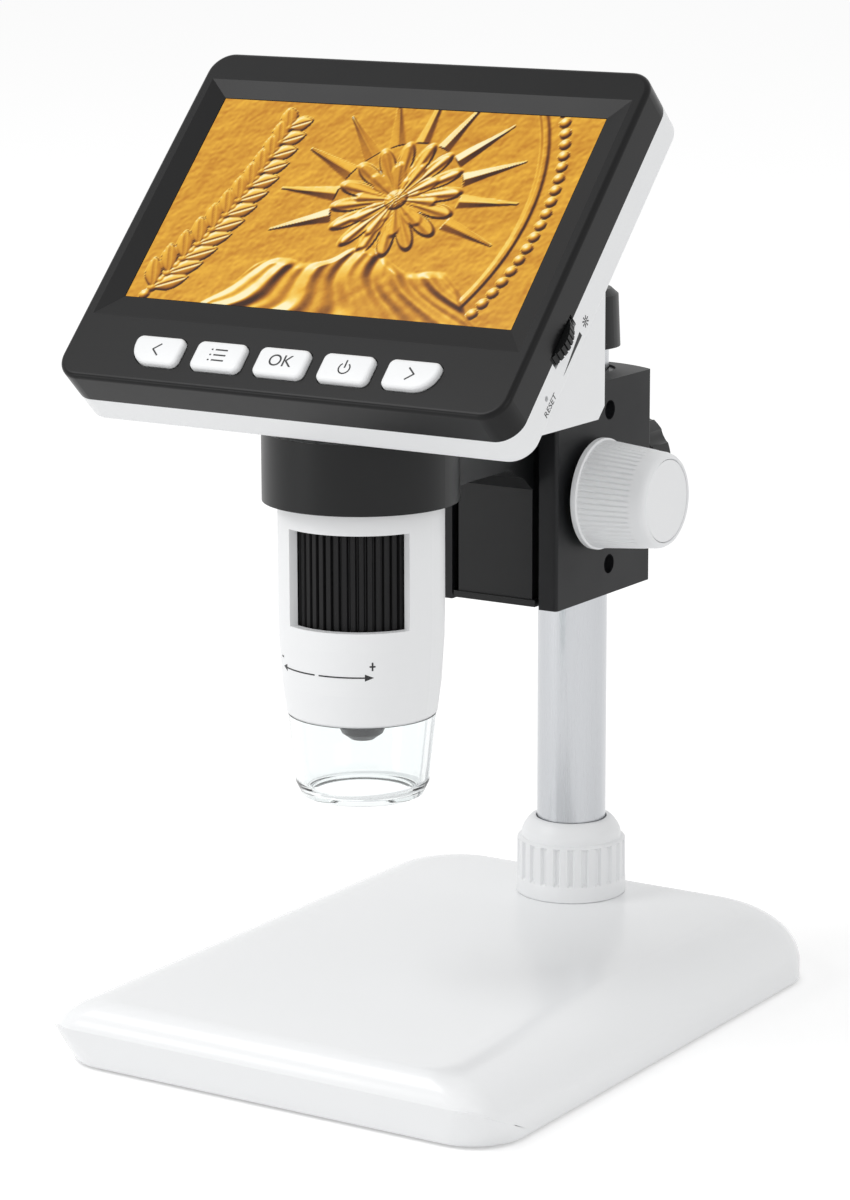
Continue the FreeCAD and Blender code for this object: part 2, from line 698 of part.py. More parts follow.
# focus_rack: straight toothed bar on the back of the slide
slide_back = lip_back + flange_gap + flange_thick
tooth_pitch = tooth_module * math.pi
rack_root = pitch_line - tooth_module * 1.25
lean = tangent(pressure_angle)
half_tooth = tooth_pitch / 4 - tooth_backlash / 4
rack_span = tooth_pitch * (rack_teeth - 1)
rack_low = shaft_z - rack_span / 2
rack_body = prism("rack_bar", "XY_Plane", rectangle(-rack_half_width, rack_half_width, slide_back, rack_root),
                  rack_low - tooth_pitch / 2, rack_low + rack_span + tooth_pitch / 2)
tooth_sketch = sketch_on(rack_body, "YZ_Plane")
root_half = half_tooth + lean * tooth_module * 1.25
tip_half = half_tooth - lean * tooth_module
outline(tooth_sketch, [(rack_root - 0.2, rack_low - root_half), (rack_root, rack_low - root_half),
                       (pitch_line + tooth_module, rack_low - tip_half),
                       (pitch_line + tooth_module, rack_low + tip_half), (rack_root, rack_low + root_half),
                       (rack_root - 0.2, rack_low + root_half)])
tooth = pad(rack_body, tooth_sketch, rack_half_width * 2, both=True)
pattern = rack_body.newObject("PartDesign::LinearPattern", "teeth")
pattern.Originals = [tooth]
pattern.Direction = (tooth_sketch, ["V_Axis"])
bind(pattern, "Length", rack_span)
bind(pattern, "Occurrences", rack_teeth)
rack_body.Tip = pattern
doc.recompute()
keep(rack_body, "focus_rack")


# pinion: spur gear whose tooth space faces the rack
def involute_tooth():
    """Half outline points of one tooth, from its root to its tip, as turn angle and radius."""
    pitch_radius = tooth_module.value * pinion_teeth.value / 2
    pressure = math.radians(pressure_angle.value)
    base_radius = pitch_radius * math.cos(pressure)
    tip_radius = pitch_radius + tooth_module.value
    at_pitch = math.tan(pressure) - pressure
    half = (math.pi * tooth_module.value / 4 - tooth_backlash.value / 4) / pitch_radius
    points = []
    for share in (0, 0.35, 0.7, 1):
        radius = base_radius + (tip_radius - base_radius) * share
        slope = math.acos(min(1, base_radius / radius))
        points.append((half + at_pitch - (math.tan(slope) - slope), radius))
    return points


pitch_radius = tooth_module * pinion_teeth / 2
pinion_root = pitch_radius - tooth_module * 1.25
gear = new_body("gear")
disc = sketch_on(gear, "YZ_Plane")
circles(disc, [(0, 0)], pinion_root)
pad(gear, disc, pinion_half_width * 2, both=True)
eye = sketch_on(gear, "YZ_Plane")
circles(eye, [(0, 0)], shaft_radius)
pocket(gear, eye, pinion_half_width * 2 + 1, both=True)
flank = involute_tooth()
turn_half = math.pi / pinion_teeth.value
side_points = [(-radius * math.cos(turn_half + angle), radius * math.sin(turn_half + angle)) for angle, radius in flank]
other_points = [(-radius * math.cos(turn_half - angle), radius * math.sin(turn_half - angle)) for angle, radius in flank]
deep = pinion_root.value - 0.3
foot = [(-deep * math.cos(turn_half + flank[0][0]), deep * math.sin(turn_half + flank[0][0])),
        (-deep * math.cos(turn_half - flank[0][0]), deep * math.sin(turn_half - flank[0][0]))]
gear_tooth = sketch_on(gear, "YZ_Plane")
outline(gear_tooth, [foot[1]] + other_points + side_points[::-1] + [foot[0]])
tooth = pad(gear, gear_tooth, pinion_half_width * 2, both=True)
polar(gear, tooth, pinion_teeth, "N_Axis")
keep(place(gear, (0, shaft_y, shaft_z)), "pinion")

# pinion_shaft: steel shaft through the block, with a knob on each end
knob_inner = block_half_width + knob_gap
knob_outer = knob_inner + knob_length
shaft_end = knob_outer - knob_dish_depth - 0.8
keep(rod("shaft", shaft_radius, -shaft_end, shaft_y, shaft_z, shaft_end * 2, "X"), "pinion_shaft")


# focus_knob: tapered white knob with fine grooves, a thin flange and a dished end
def focus_knob(node, side):
    dish = knob_outer - knob_dish_depth
    points = [(knob_inner, shaft_radius), (knob_inner, knob_flange_radius),
              (knob_inner + knob_flange_thick, knob_flange_radius),
              (knob_inner + knob_flange_thick, knob_root_radius), (knob_outer - knob_band, knob_tip_radius),
              (knob_outer - 0.7, knob_tip_radius - 0.2), (knob_outer, knob_tip_radius - 0.9),
              (knob_outer, knob_dish_radius), (dish, knob_dish_radius), (dish, 0), (shaft_end, 0),
              (shaft_end, shaft_radius)]
    body = turned(f"knob_{side}", points[::-1], axis="H_Axis")
    notch = sketch_on(body, "XZ_Plane")
    start, end = knob_inner + knob_flange_thick + 0.8, knob_outer - knob_band
    slope = (knob_tip_radius - knob_root_radius) / (knob_outer - knob_band - knob_inner - knob_flange_thick)
    low = knob_root_radius + slope * 0.8 - groove_depth
    outline(notch, [(start, low), (end, knob_tip_radius - 0.05), (end, knob_root_radius + 1),
                    (start, knob_root_radius + 1)])
    groove = pocket(body, notch, groove_depth * 1.5, both=True)
    polar(body, groove, knob_grooves, "H_Axis")
    spin = FreeCAD.Rotation(Vector(0, 0, 1), 0 if side > 0 else 180)
    body.Placement = FreeCAD.Placement(Vector(0, shaft_y.value, shaft_z.value), spin)
    bind(body, "Placement.Base.y", shaft_y)
    bind(body, "Placement.Base.z", shaft_z)
    keep(body, node)


focus_knob("focus_knob_right", 1)
focus_knob("focus_knob_left", -1)
caps = []
for side in (1, -1):
    start = knob_outer - knob_dish_depth if side > 0 else -knob_outer + 0.3
    caps.append(rod("knob_disc", knob_dish_radius - 0.15, start, shaft_y, shaft_z, knob_dish_depth - 0.3, "X"))
keep(group("knob_discs", caps), "knob_end_discs")

# carriage: slide with its T flange, the arm and the holder ring, one black moulding
flange_front = lip_back + flange_gap
slide_parts = [
    box("slide_panel", -slide_half_width, slide_half_width, block_front, flange_front, slide_bottom, slide_top),
    box("slide_lip_bar", -slide_half_width - 1, slide_half_width + 1, block_front - panel_step, flange_front,
        slide_bottom, slide_bottom + slide_lip),
    box("slide_flange", -flange_half_width, flange_half_width, flange_front, slide_back, slide_bottom, slide_top)]
ring_back = barrel_y + ring_radius
arm_plan = prism("arm_plan", "XY_Plane", [(-slide_half_width, block_front + 0.5), (-ring_flare, barrel_y),
                                          (ring_flare, barrel_y), (slide_half_width, block_front + 0.5)],
                 arm_bottom - 1, arm_top)
arm_side = prism("arm_side", "YZ_Plane", [(barrel_y, ring_bottom + 1.5), (ring_back, ring_bottom + 1.5),
                                          (block_front - 14, ring_bottom + 0.6), (block_front - 5, arm_bottom + 3.4),
                                          (block_front, arm_bottom), (block_front + 0.5, arm_bottom),
                                          (block_front + 0.5, arm_top), (barrel_y, arm_top)],
                 -ring_radius, ring_radius)
ring_outer = rod("ring_outer", ring_radius, 0, barrel_y, ring_bottom, ring_top - ring_bottom)
ring_inner = rod("ring_inner", ring_bore, 0, barrel_y, ring_bottom - 1, ring_top - ring_bottom + 3)
carriage_full = fuse("carriage_full", slide_parts + [overlap("arm", [arm_plan, arm_side]), ring_outer])
keep(cut("carriage_cut", carriage_full, ring_inner), "carriage")

# ring_liner: soft sleeve in the ring that grips the barrel
liner_rim = ring_bottom - 0.4
liner = turned("liner", [(barrel_radius + running_gap, liner_rim), (ring_bore, liner_rim), (ring_bore, ring_top),
                         (barrel_radius + running_gap, ring_top)])
keep(place(liner, (0, barrel_y, 0)), "ring_liner")

# barrel_shell: white tube with the wheel's window and a floor round the lens
foot_chamfer = as_size(0.5)
barrel_points = [(nose_hole, barrel_bottom), (barrel_foot_radius - foot_chamfer, barrel_bottom),
                 (barrel_foot_radius, barrel_bottom + foot_chamfer), (barrel_radius - 0.75, barrel_taper_low),
                 (barrel_radius - 0.12, barrel_taper_high), (barrel_radius, window_bottom + 2),
                 (barrel_radius, barrel_top), (0, barrel_top), (0, barrel_top - barrel_floor),
                 (barrel_bore, barrel_top - barrel_floor), (barrel_bore, barrel_taper_low + 3),
                 (barrel_foot_radius - 2.2, barrel_bottom + barrel_floor), (nose_hole, barrel_bottom + barrel_floor)]
barrel_body = place(turned("barrel", barrel_points), (0, barrel_y, 0))
sector = doc.addObject("Part::Cylinder", "window_sector")
bind(sector, "Radius", barrel_radius + 3)
bind(sector, "Height", window_top - window_bottom)
bind(sector, "Angle", window_sweep)
place(sector, (0, barrel_y, window_bottom))
sector.Placement = FreeCAD.Placement(Vector(0, barrel_y.value, window_bottom.value),
                                     FreeCAD.Rotation(Vector(0, 0, 1), window_start.value - 90))
sector_core = rod("sector_core", barrel_bore - 1, 0, barrel_y, window_bottom - 1, window_top - window_bottom + 2)
keep(cut("barrel_cut", barrel_body, cut("window_tool", sector, sector_core)), "barrel_shell")

# focus_wheel: black ribbed sleeve that the thumb turns through the window
wheel_low = window_bottom - wheel_margin
wheel_high = window_top + wheel_margin
wheel = turned("wheel", [(wheel_bore, wheel_low), (wheel_radius, wheel_low), (wheel_radius, wheel_high),
                         (wheel_bore, wheel_high)])
rib = sketch_on(wheel, "XY_Plane", wheel_high)
outline(rib, [(wheel_radius - rib_depth, -0.12), (wheel_radius + 0.5, -0.62), (wheel_radius + 0.5, 0.62),
              (wheel_radius - rib_depth, 0.12)])
rib_cut = pocket(wheel, rib, wheel_high - wheel_low)
polar(wheel, rib_cut, wheel_ribs, "N_Axis")
keep(place(wheel, (0, barrel_y, 0)), "focus_wheel")

# lens_barrel: dark nose that moves up and down inside the wheel
lens_body = turned("lens_tube", [(nose_tip_radius - 0.8, nose_tip), (nose_tip_radius, nose_tip),
                                 (nose_radius - 0.7, nose_shoulder - 1.4), (nose_radius, nose_shoulder),
                                 (nose_radius, window_bottom + 4), (lens_flange, window_bottom + 4),
                                 (lens_flange, window_bottom + 8), (nose_tip_radius, window_bottom + 8),
                                 (nose_tip_radius, nose_shoulder), (nose_tip_radius - 0.8, nose_shoulder - 1)])
keep(place(lens_body, (0, barrel_y, 0)), "lens_barrel")
keep(rod("lens_glass", nose_tip_radius, 0, barrel_y, nose_shoulder, 1.5), "objective_lens")

# led_board and led_lamps: ring light round the nose, inside the barrel's foot
board_low = barrel_bottom + barrel_floor + 1.6
led_ring = turned("led_ring", [(nose_hole + 0.6, board_low), (barrel_foot_radius - 2.4, board_low),
                               (barrel_foot_radius - 2.4, board_low + 1), (nose_hole + 0.6, board_low + 1)])
keep(place(led_ring, (0, barrel_y, 0)), "led_board")
lamps = []
LAMP_COUNT = 8
lamp_circle = (nose_hole + barrel_foot_radius) / 2
for index in range(LAMP_COUNT):
    angle = 2 * math.pi * index / LAMP_COUNT
    lamps.append(rod("led_lamp", as_size(1.5), lamp_circle * math.cos(angle),
                     barrel_y + lamp_circle * math.sin(angle), board_low - 1.4, 1.4))
keep(group("led_lamp_set", lamps), "led_lamps")
keep(rod("sensor_disc", barrel_bore - 0.1, 0, barrel_y, wheel_high + 3, 1.6), "sensor_board")

# view_cap: clear spacer that the barrel stands on the sample with
cap_in = view_cap_wall
view_points = [(view_cap_hole, view_cap_foot), (view_cap_foot_radius, view_cap_foot),
               (view_cap_low_radius, view_cap_low),
               (view_cap_top_radius, barrel_bottom), (view_cap_top_radius - cap_in, barrel_bottom),
               (view_cap_low_radius - cap_in, view_cap_low + 0.6), (view_cap_foot_radius - cap_in, view_cap_foot + 1.6),
               (view_cap_hole, view_cap_foot + 1.6)]
keep(place(turned("view_tube", view_points), (0, barrel_y, 0)), "view_cap")

# front_bezel: black frame with a sloped edge round the screen
bezel = slab("bezel", -bezel_half_width, bezel_half_width, bezel_low, bezel_high, bezel_parting, bezel_face,
             bezel_corner)
face_edges = []
for number, edge in enumerate(bezel.Shape.Edges, 1):
    if edge.BoundBox.ZMin > bezel_face.value - 0.01:
        face_edges.append(f"Edge{number}")
fillet(bezel, face_edges, as_size(1.1))
cavity = sketch_on(bezel, "XY_Plane", bezel_parting)
outline(cavity, rectangle(case_wall - bezel_half_width, bezel_half_width - case_wall, bezel_low + case_wall,
                          bezel_high - case_wall))
pocket(bezel, cavity, -bezel_parting - case_wall, reverse=True)
window = sketch_on(bezel, "XY_Plane", -0.02)
outline(window, rectangle(-screen_width / 2, screen_width / 2, -screen_height / 2, screen_height / 2))
mouth = sketch_on(bezel, "XY_Plane", bezel_face + 0.02)
outline(mouth, rectangle(-recess_half_width, recess_half_width, recess_low, recess_high))
bevel = bezel.newObject("PartDesign::SubtractiveLoft", "bevel")
bevel.Profile = window
bevel.Sections = [mouth]
doc.recompute()
glass_way = sketch_on(bezel, "XY_Plane", 0.0)
outline(glass_way, rectangle(-module_half_width, module_half_width, module_low, module_high))
pocket(bezel, glass_way, as_size(case_wall.value + 3))
bezel_placed = on_monitor(bezel)


# Buttons: five keys in one row, the outer two with one round lower corner
def key_points(index, grow):
    x = button_pitch * (index - 2)
    half = button_width / 2 + grow
    tall = button_height / 2 + grow
    left, right = x - half, x + half
    low, high = button_row - tall, button_row + tall
    small = as_size(1.6) + grow
    large = as_size(5.0) + grow
    near = large if index == 0 else small
    far = large if index == 4 else small
    return [(left + near, low), (right - far, low, far), (right, low + far), (right, high - small, small),
            (right - small, high), (left + small, high, small), (left, high - small), (left, low + near, near)]


button_names = ["button_left", "button_menu", "button_ok", "button_power", "button_right"]
key_holes = []
for index, node in enumerate(button_names):
    key_holes.append(prism("key_hole", "XY_Plane", key_points(index, button_gap), -case_wall - 2, bezel_face + 1))
    key = prism("key", "XY_Plane", key_points(index, as_size(0)), -case_wall - 1.2, bezel_face + button_proud)
    rims = []
    for number, edge in enumerate(key.Shape.Edges, 1):
        if edge.BoundBox.ZMin > bezel_face.value + button_proud.value - 0.01:
            rims.append(f"Edge{number}")
    bevel_rim(key, rims, as_size(0.5))
    keep(on_monitor(key), node)
for hole in key_holes:
    on_monitor(hole)
dial_centre = bezel_half_width + dial_proud - dial_radius
dial_slot = rod("dial_slot", dial_radius + 0.5, dial_centre, dial_row, dial_level - dial_thick / 2 - 0.4,
                dial_thick + 0.8)
dial_room = group("dial_room", [dial_slot])
keep(cut("bezel_cut", bezel_placed, fuse("bezel_ways", key_holes + [on_monitor(dial_room)])), "front_bezel")

# brightness_dial: thumbwheel whose edge stands out of the monitor's right side
dial = new_body("dial")
dial_round = sketch_on(dial, "XY_Plane", dial_level - dial_thick / 2)
circles(dial_round, [(0, 0)], dial_radius)
pad(dial, dial_round, dial_thick)
knurl = sketch_on(dial, "XY_Plane", dial_level + dial_thick)
outline(knurl, [(dial_radius - 0.35, -0.1), (dial_radius + 0.5, -0.4), (dial_radius + 0.5, 0.4),
                (dial_radius - 0.35, 0.1)])
knurl_cut = pocket(dial, knurl, dial_thick * 2)
polar(dial, knurl_cut, dial_teeth, "N_Axis")
dial_hole = sketch_on(dial, "XY_Plane", dial_level + dial_thick)
circles(dial_hole, [(0, 0)], as_size(2.05))
pocket(dial, dial_hole, dial_thick * 2)
place(dial, (dial_centre, dial_row, 0))
keep(on_monitor(group("dial_set", [dial])), "brightness_dial")

# rear_cover: white back shell with a wedge and a tower over the barrel
slab_half = bezel_half_width
back = new_body("back_shell")
back_outline = sketch_on(back, "XY_Plane", monitor_rear)
outline(back_outline, rectangle(-slab_half, slab_half, bezel_low, bezel_high))
pad(back, back_outline, bezel_parting - monitor_rear)
fillet(back, long_edges(back.Shape, Vector(0, 0, 1)), bezel_corner)
rear_edges = []
for number, edge in enumerate(back.Shape.Edges, 1):
    if edge.BoundBox.ZMax < monitor_rear.value + 0.01:
        rear_edges.append(f"Edge{number}")
fillet(back, rear_edges, as_size(1.4))
on_monitor(back)
slope = tangent(screen_tilt)
wedge_half_width = bezel_half_width - wedge_inset
inside_gap = -(monitor_rear + 3) / cosine(screen_tilt)
hidden_y = screen_y + (wedge_bottom - screen_z + inside_gap) / slope
hidden_z = screen_z - inside_gap + (wedge_back - screen_y) * slope
wedge = prism("wedge", "YZ_Plane", [(hidden_y, wedge_bottom), (wedge_back - 2.5, wedge_bottom),
                                    (wedge_back, wedge_bottom + 2.5), (wedge_back, hidden_z)],
              -wedge_half_width, wedge_half_width)
tower = rod("tower", tower_radius, 0, barrel_y, wedge_bottom, tower_top - wedge_bottom)
behind = prism("behind_slab", "YZ_Plane", [(hidden_y, wedge_bottom - 1), (barrel_y + 30, wedge_bottom - 1),
                                           (barrel_y + 30, hidden_z + (barrel_y + 30 - wedge_back) * slope)],
               -wedge_half_width, wedge_half_width)
cover_full = fuse("cover_full", [back, wedge, overlap("tower_trimmed", [tower, behind])])
cover_room = box("cover_room", case_wall - slab_half, slab_half - case_wall, bezel_low + case_wall,
                 bezel_high - case_wall, monitor_rear + case_wall, bezel_parting + 1)
on_monitor(group("cover_room_set", [cover_room]))
room_set = doc.Objects[-1]
barrel_way = rod("barrel_way", barrel_radius, 0, barrel_y, wedge_bottom - 1, barrel_top - wedge_bottom + 1)
dial_room_rear = group("dial_room_rear", [rod("dial_slot_rear", dial_radius + 0.5, dial_centre, dial_row,
                                              dial_level - dial_thick / 2 - 0.4, dial_thick + 0.8)])
on_monitor(dial_room_rear)
port_low = bezel_parting - 4.2
ports = [box("usb_way", -slab_half - 1, case_wall - slab_half + 1, -6.2, 2.2, port_low, port_low + 3),
         box("card_way", -slab_half - 1, case_wall - slab_half + 1, -26.2, -14.2, port_low, port_low + 1.8),
         rod("reset_way", as_size(0.6), slab_half - case_wall - 1, -35.6, bezel_parting - 3, case_wall + 2, "X")]
port_set = on_monitor(group("port_ways", ports))
SCREW_ROWS = (30.5, 2.0)
case_screw_x = slab_half - 8
case_spots = [(x, y) for x in (case_screw_x, -case_screw_x) for y in SCREW_ROWS]
case_ways = [rod("case_way", as_size(2.4), x, y, monitor_rear - 1, case_wall + 0.4) for x, y in case_spots]
case_way_set = on_monitor(group("case_ways", case_ways))
keep(cut("cover_cut", cover_full, fuse("cover_ways", [room_set, barrel_way, dial_room_rear, port_set,
                                                      case_way_set])), "rear_cover")
heads = [rod("case_head", as_size(2.2), x, y, monitor_rear + 0.1, case_wall - 0.7) for x, y in case_spots]
keep(on_monitor(group("case_screw_set", heads)), "case_screws")

# Inside the monitor: display module, boards, battery, sockets and switches
display = box("display", 0.3 - module_half_width, module_half_width - 0.3, module_low + 0.3, module_high - 0.3,
              -0.1 - module_thick, -0.1)
keep(on_monitor(group("display_set", [display])), "lcd_panel")
frame_top = -0.2 - module_thick
keep(on_monitor(group("frame_set", [box("frame", 0.3 - module_half_width, module_half_width - 0.3,
                                         module_low + 0.3, module_high - 0.3, frame_top - 0.7, frame_top)])),
     "display_frame")
board_level = monitor_rear + case_wall + 5.0
board_left = as_size(6.4) - module_half_width
board_right = dial_centre - dial_radius - 2
keep(on_monitor(group("board_set", [box("board", board_left, board_right, module_low + 4, module_high - 2.2,
                                         board_level, board_level + 1.2)])), "main_board")
keep(on_monitor(group("cell_set", [box("cell", -module_half_width * 0.27, board_right - 1, module_low * 0.5,
                                        module_high * 0.8, monitor_rear + case_wall + 0.1, board_level - 0.1)])),
     "battery")
key_board_top = -case_wall - 3.2
key_board_end = button_pitch * 2 + 8.8
keep(on_monitor(group("key_board_set", [box("key_board", -key_board_end, key_board_end, button_row - 4.9,
                                             button_row + 4.5, key_board_top - 1, key_board_top)])), "button_board")
tact = [box("tact", button_pitch * (i - 2) - 1.5, button_pitch * (i - 2) + 1.5, button_row - 1.5, button_row + 1.5,
            key_board_top, -case_wall - 1.2 - button_travel - 0.2) for i in range(5)]
keep(on_monitor(group("tact_set", tact)), "tact_switches")
keep(on_monitor(group("usb_set", [box("usb", case_wall - slab_half - 1.4, case_wall - slab_half + 5.6, -6, 2,
                                       port_low + 0.1, port_low + 2.9)])), "usb_socket")
keep(on_monitor(group("card_set", [box("card", case_wall - slab_half, case_wall - slab_half + 14, -26, -14.4,
                                        port_low + 0.1, port_low + 1.7)])), "card_slot")
keep(on_monitor(group("pot_set", [fuse("pot", [
    box("pot_case", dial_centre - 4, dial_centre + 4, dial_row - 4, dial_row + 4,
        dial_level - dial_thick / 2 - 2.3, dial_level - dial_thick / 2 - 0.3),
    rod("pot_pin", as_size(1.95), dial_centre, dial_row, dial_level - dial_thick / 2 - 1, dial_thick + 1)])])),
     "dial_potentiometer")
keep(on_monitor(group("reset_set", [box("reset", slab_half - case_wall - 3.4, slab_half - case_wall - 0.2, -37.2,
                                         -34, bezel_parting - 4.4, bezel_parting - 1.6)])), "reset_switch")

doc.recompute()
failed = [f"{o.Label}: {o.State}" for o in doc.Objects if "Invalid" in o.State or "Error" in o.State]
for piece in subparts:
    shape = piece.Shape
    if shape.isNull() or not shape.isValid() or not shape.Solids:
        failed.append(f"{piece.Label}: bad shape")
if failed:
    raise RuntimeError("; ".join(failed))
for piece in subparts:
    piece.Shape.exportStep(f"parts/{piece.Label}.step")
print(len(subparts), "sub-parts written")
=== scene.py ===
import math
import bpy
import numpy as np
from mathutils import Matrix, Vector


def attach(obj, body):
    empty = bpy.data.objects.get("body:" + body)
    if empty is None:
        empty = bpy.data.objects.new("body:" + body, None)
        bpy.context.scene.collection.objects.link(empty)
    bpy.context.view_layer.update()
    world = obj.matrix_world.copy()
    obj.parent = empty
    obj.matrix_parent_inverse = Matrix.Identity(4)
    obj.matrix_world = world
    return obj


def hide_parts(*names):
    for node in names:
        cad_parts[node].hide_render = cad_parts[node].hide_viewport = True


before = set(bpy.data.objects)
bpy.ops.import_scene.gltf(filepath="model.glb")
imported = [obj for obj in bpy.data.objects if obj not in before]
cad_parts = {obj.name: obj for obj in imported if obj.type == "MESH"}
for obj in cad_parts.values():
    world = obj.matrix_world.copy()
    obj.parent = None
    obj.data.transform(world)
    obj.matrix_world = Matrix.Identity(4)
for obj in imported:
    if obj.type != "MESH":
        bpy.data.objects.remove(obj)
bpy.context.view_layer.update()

MM = 0.001


# Camera, at the photograph's height and distance, with a long lens.
# The stand is seen from its front right and a little above.
def deselect():
    for thing in bpy.context.selected_objects:
        thing.select_set(False)


deselect()
CAMERA_PLACE = (0.442787, -0.701817, 0.275574)
CAMERA_AZIMUTH, CAMERA_DIP, CAMERA_ROLL = math.radians(32.362), math.radians(12.305), math.radians(-0.107)
bpy.ops.object.camera_add()
camera = bpy.context.object
camera.name = "camera"
camera.matrix_world = (Matrix.Translation(CAMERA_PLACE)
                       @ Matrix.Rotation(CAMERA_AZIMUTH, 4, "Z")
                       @ Matrix.Rotation(math.pi / 2 - CAMERA_DIP, 4, "X")
                       @ Matrix.Rotation(CAMERA_ROLL, 4, "Z"))
camera.data.sensor_fit = "VERTICAL"
camera.data.sensor_height = 36
camera.data.lens = 116.41
camera.data.shift_x = -0.0108
camera.data.shift_y = 0.0034
camera.data.clip_end = 20
bpy.context.scene.camera = camera
bpy.context.scene.view_settings.view_transform = "Standard"


# Floor and lamps: a pale photographer's table under soft boxes.
# The table keeps the object's shadow and is white where nothing shades it.
def linear(hex_colour):
    """sRGB hex text to linear colour."""
    parts = [int(hex_colour[i:i + 2], 16) / 255 for i in (1, 3, 5)]
    return tuple(p / 12.92 if p <= 0.04045 else ((p + 0.055) / 1.055) ** 2.4 for p in parts) + (1.0,)


def add_node(tree, kind, inputs=None, **settings):
    """Adds one node. An input is a plain value, or the output socket of another node."""
    node = tree.nodes.new(kind)
    for name, value in settings.items():
        setattr(node, name, value)
    for key, value in (inputs or {}).items():
        if isinstance(value, bpy.types.NodeSocket):
            tree.links.new(value, node.inputs[key])
        else:
            node.inputs[key].default_value = value
    return node


def new_material(name):
    made = bpy.data.materials.new(name)
    made.use_nodes = True
    made.node_tree.nodes.clear()
    return made, made.node_tree


def seen_rays(tree):
    """1 for rays from the camera, off a mirror or through glass."""
    path = add_node(tree, "ShaderNodeLightPath")
    some = add_node(tree, "ShaderNodeMath", operation="MAXIMUM",
                    inputs={0: path.outputs["Is Camera Ray"], 1: path.outputs["Is Glossy Ray"]})
    return add_node(tree, "ShaderNodeMath", {0: some.outputs[0], 1: path.outputs["Is Transmission Ray"]},
                    operation="MAXIMUM").outputs[0]


bpy.ops.mesh.primitive_plane_add(size=8, location=(0, 0, 0))
floor = bpy.context.object
floor.name = "floor"
table, tree = new_material("matt_white_card")
card = add_node(tree, "ShaderNodeBsdfDiffuse", {"Color": linear("#f4f4f4")})
glow = add_node(tree, "ShaderNodeEmission", {"Color": (1, 1, 1, 1), "Strength": 0.3})
lifted = add_node(tree, "ShaderNodeAddShader", {0: card.outputs[0], 1: glow.outputs[0]})
picked = add_node(tree, "ShaderNodeMixShader", {0: seen_rays(tree), 1: card.outputs[0], 2: lifted.outputs[0]})
add_node(tree, "ShaderNodeOutputMaterial", {"Surface": picked.outputs[0]})
floor.data.materials.append(table)

world = bpy.data.worlds.new("studio")
world.use_nodes = True
bpy.context.scene.world = world
tree = world.node_tree
tree.nodes.clear()
room = add_node(tree, "ShaderNodeBackground", {"Color": (1, 1, 1, 1), "Strength": 0.72})
white = add_node(tree, "ShaderNodeBackground", {"Color": (1, 1, 1, 1), "Strength": 1.0})
picked = add_node(tree, "ShaderNodeMixShader", {0: seen_rays(tree), 1: room.outputs[0], 2: white.outputs[0]})
add_node(tree, "ShaderNodeOutputWorld", {"Surface": picked.outputs[0]})


def soft_box(name, place, aim, size, power):
    """A square studio lamp that faces a point."""
    bpy.ops.object.light_add(type="AREA", location=place)
    lamp = bpy.context.object
    lamp.name = name
    lamp.rotation_euler = (Vector(aim) - Vector(place)).to_track_quat("-Z", "Y").to_euler()
    lamp.data.size = size
    lamp.data.energy = power


soft_box("key_soft_box", (-0.9, -1.0, 1.5), (0, 0, 0.1), 1.0, 11)
soft_box("fill_soft_box", (1.5, -0.5, 0.8), (0, 0, 0.1), 1.0, 2.5)
soft_box("edge_soft_box", (-0.75, -1.15, 0.2), (0, -0.05, 0.15), 0.35, 1.2)


# Base: a shallow desk foot moulded in glossy white ABS, screwed to a white bottom tray.
# A steel plate inside weighs it down, and a thin rubber sheet under it keeps it from sliding.
def plastic(name, colour, roughness, grain_mm=0.35, depth_mm=0.004, gloss=0.5):
    """Moulded plastic: a fine spark-eroded grain, and a slow change of polish over the part."""
    made, tree = new_material(name)
    place = add_node(tree, "ShaderNodeTexCoord").outputs["Object"]
    fine = add_node(tree, "ShaderNodeTexNoise", {"Vector": place, "Scale": 1 / (grain_mm * MM),
                                                 "Detail": 2.0})
    flow = add_node(tree, "ShaderNodeTexNoise", {"Vector": place, "Scale": 1 / (30 * MM), "Detail": 3.0})
    polish = add_node(tree, "ShaderNodeMapRange", {
        "Value": flow.outputs["Fac"], "From Min": 0.3, "From Max": 0.7,
        "To Min": roughness * 0.9, "To Max": roughness * 1.1})
    bump = add_node(tree, "ShaderNodeBump", {"Height": fine.outputs["Fac"], "Strength": 0.5,
                                             "Distance": depth_mm * MM})
    shader = add_node(tree, "ShaderNodeBsdfPrincipled", {
        "Base Color": linear(colour), "Roughness": polish.outputs["Result"], "Normal": bump.outputs[0],
        "IOR": 1.49, "Specular IOR Level": gloss})
    add_node(tree, "ShaderNodeOutputMaterial", {"Surface": shader.outputs[0]})
    return made


def dress(made, *nodes):
    """Gives CAD parts a material in place of the plain one."""
    for name in nodes:
        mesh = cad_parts[name].data
        mesh.materials.clear()
        mesh.materials.append(made)


